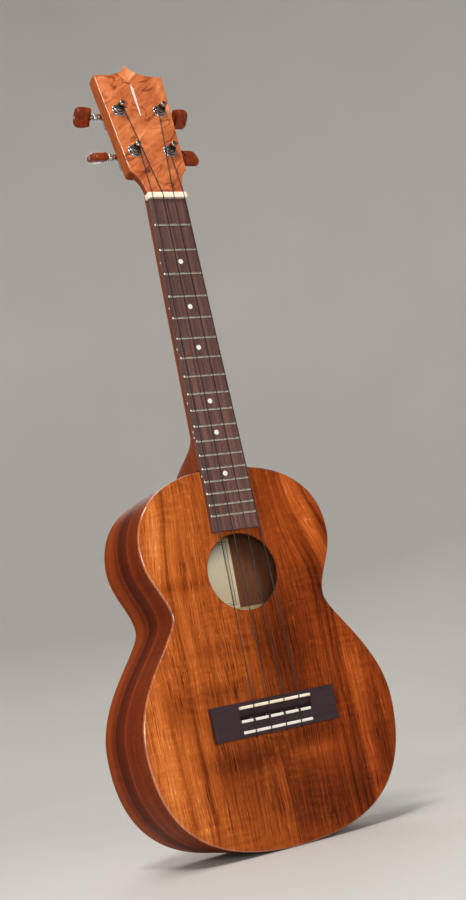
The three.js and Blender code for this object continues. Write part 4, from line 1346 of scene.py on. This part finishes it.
# ---- studio ----
def stage_bowl():
    """A pale floor that sweeps up into a wall all the way round."""
    floor_z = cad_box[0].z * 1000 + HANGER_ABOVE_NUT - 0.3
    flat = 1900
    sweep = 1500
    rise = 3600
    profile = [(0.0, 0.0), (400.0, 0.0), (1200.0, 0.0)]
    for i in range(25):
        angle = math.pi / 2 * i / 24
        profile.append((flat + sweep * math.sin(angle), sweep * (1 - math.cos(angle))))
    profile.append((flat + sweep, rise))
    rings = turned(profile, lambda a, b, h: (a, b, floor_z + h), 96)
    points, faces = skin(rings)
    floor = make("studio_floor", points, faces[:-2], "floor", None)


def softbox(name, location, width, height, watts, colour):
    """A rectangular lamp that faces the middle of the instrument."""
    data = bpy.data.lights.new(name, "AREA")
    data.shape = "RECTANGLE"
    data.size = width
    data.size_y = height
    data.energy = watts
    data.color = colour
    hang(data, location, (0, 0, -0.3))


def hang(data, location, target):
    """Places a lamp and turns it to its target; both are points of the frame in metres."""
    lamp = bpy.data.objects.new(data.name, data)
    lamp.location = location
    lamp.rotation_mode = "QUATERNION"
    lamp.rotation_quaternion = (Vector(target) - lamp.location).to_track_quat("-Z", "Y")
    bpy.context.scene.collection.objects.link(lamp)


def lights():
    softbox("key", (-1.2, -1.5, 1.9), 0.7, 0.7, 44, (1.0, 0.97, 0.93))
    softbox("edge", (-1.75, -0.95, 0.15), 0.09, 1.7, 6, (1.0, 0.98, 0.95))
    softbox("front", (-0.6, -1.9, -0.2), 0.35, 0.35, 13, (1.0, 0.98, 0.96))
    softbox("top", (-0.5, -0.1, 2.3), 0.8, 0.8, 14, (1.0, 0.99, 0.97))
    softbox("rear", (0.9, 2.1, 1.0), 1.2, 1.2, 12, (1.0, 0.98, 0.96))
    # A narrow beam through the sound hole lights the label.
    inside = bpy.data.lights.new("inside", "SPOT")
    inside.energy = 12
    inside.spot_size = math.radians(3.6)
    inside.spot_blend = 0.35
    inside.shadow_soft_size = 0.03
    hang(inside, (-0.5, -0.95, -0.42), place((0, 4, HOLE_Z)))
    world = bpy.data.worlds.new("studio")
    world.use_nodes = True
    background = world.node_tree.nodes["Background"]
    background.inputs["Color"].default_value = (0.95, 0.97, 1.0, 1)
    background.inputs["Strength"].default_value = 0.14
    bpy.context.scene.world = world


def camera():
    """The fitted view: from the bass side, low, with the camera rolled a little."""
    right = Vector((0.87762, -0.43413, -0.20327))
    up = Vector((0.09413, -0.25972, 0.96109))
    back_axis = Vector((-0.47003, -0.8626, -0.18707))
    data = bpy.data.cameras.new("view")
    data.sensor_fit = "VERTICAL"
    data.sensor_height = 24
    data.lens = 36.4819
    eye = bpy.data.objects.new("view", data)
    turn = Matrix((right, up, back_axis)).transposed().to_4x4()
    eye.matrix_world = Matrix.Translation((-0.52357, -0.98672, -0.45714)) @ turn
    bpy.context.scene.collection.objects.link(eye)
    bpy.context.scene.camera = eye


stage_bowl()
lights()
camera()
view_settings = bpy.context.scene.view_settings
view_settings.view_transform = "Standard"
view_settings.look = "None"
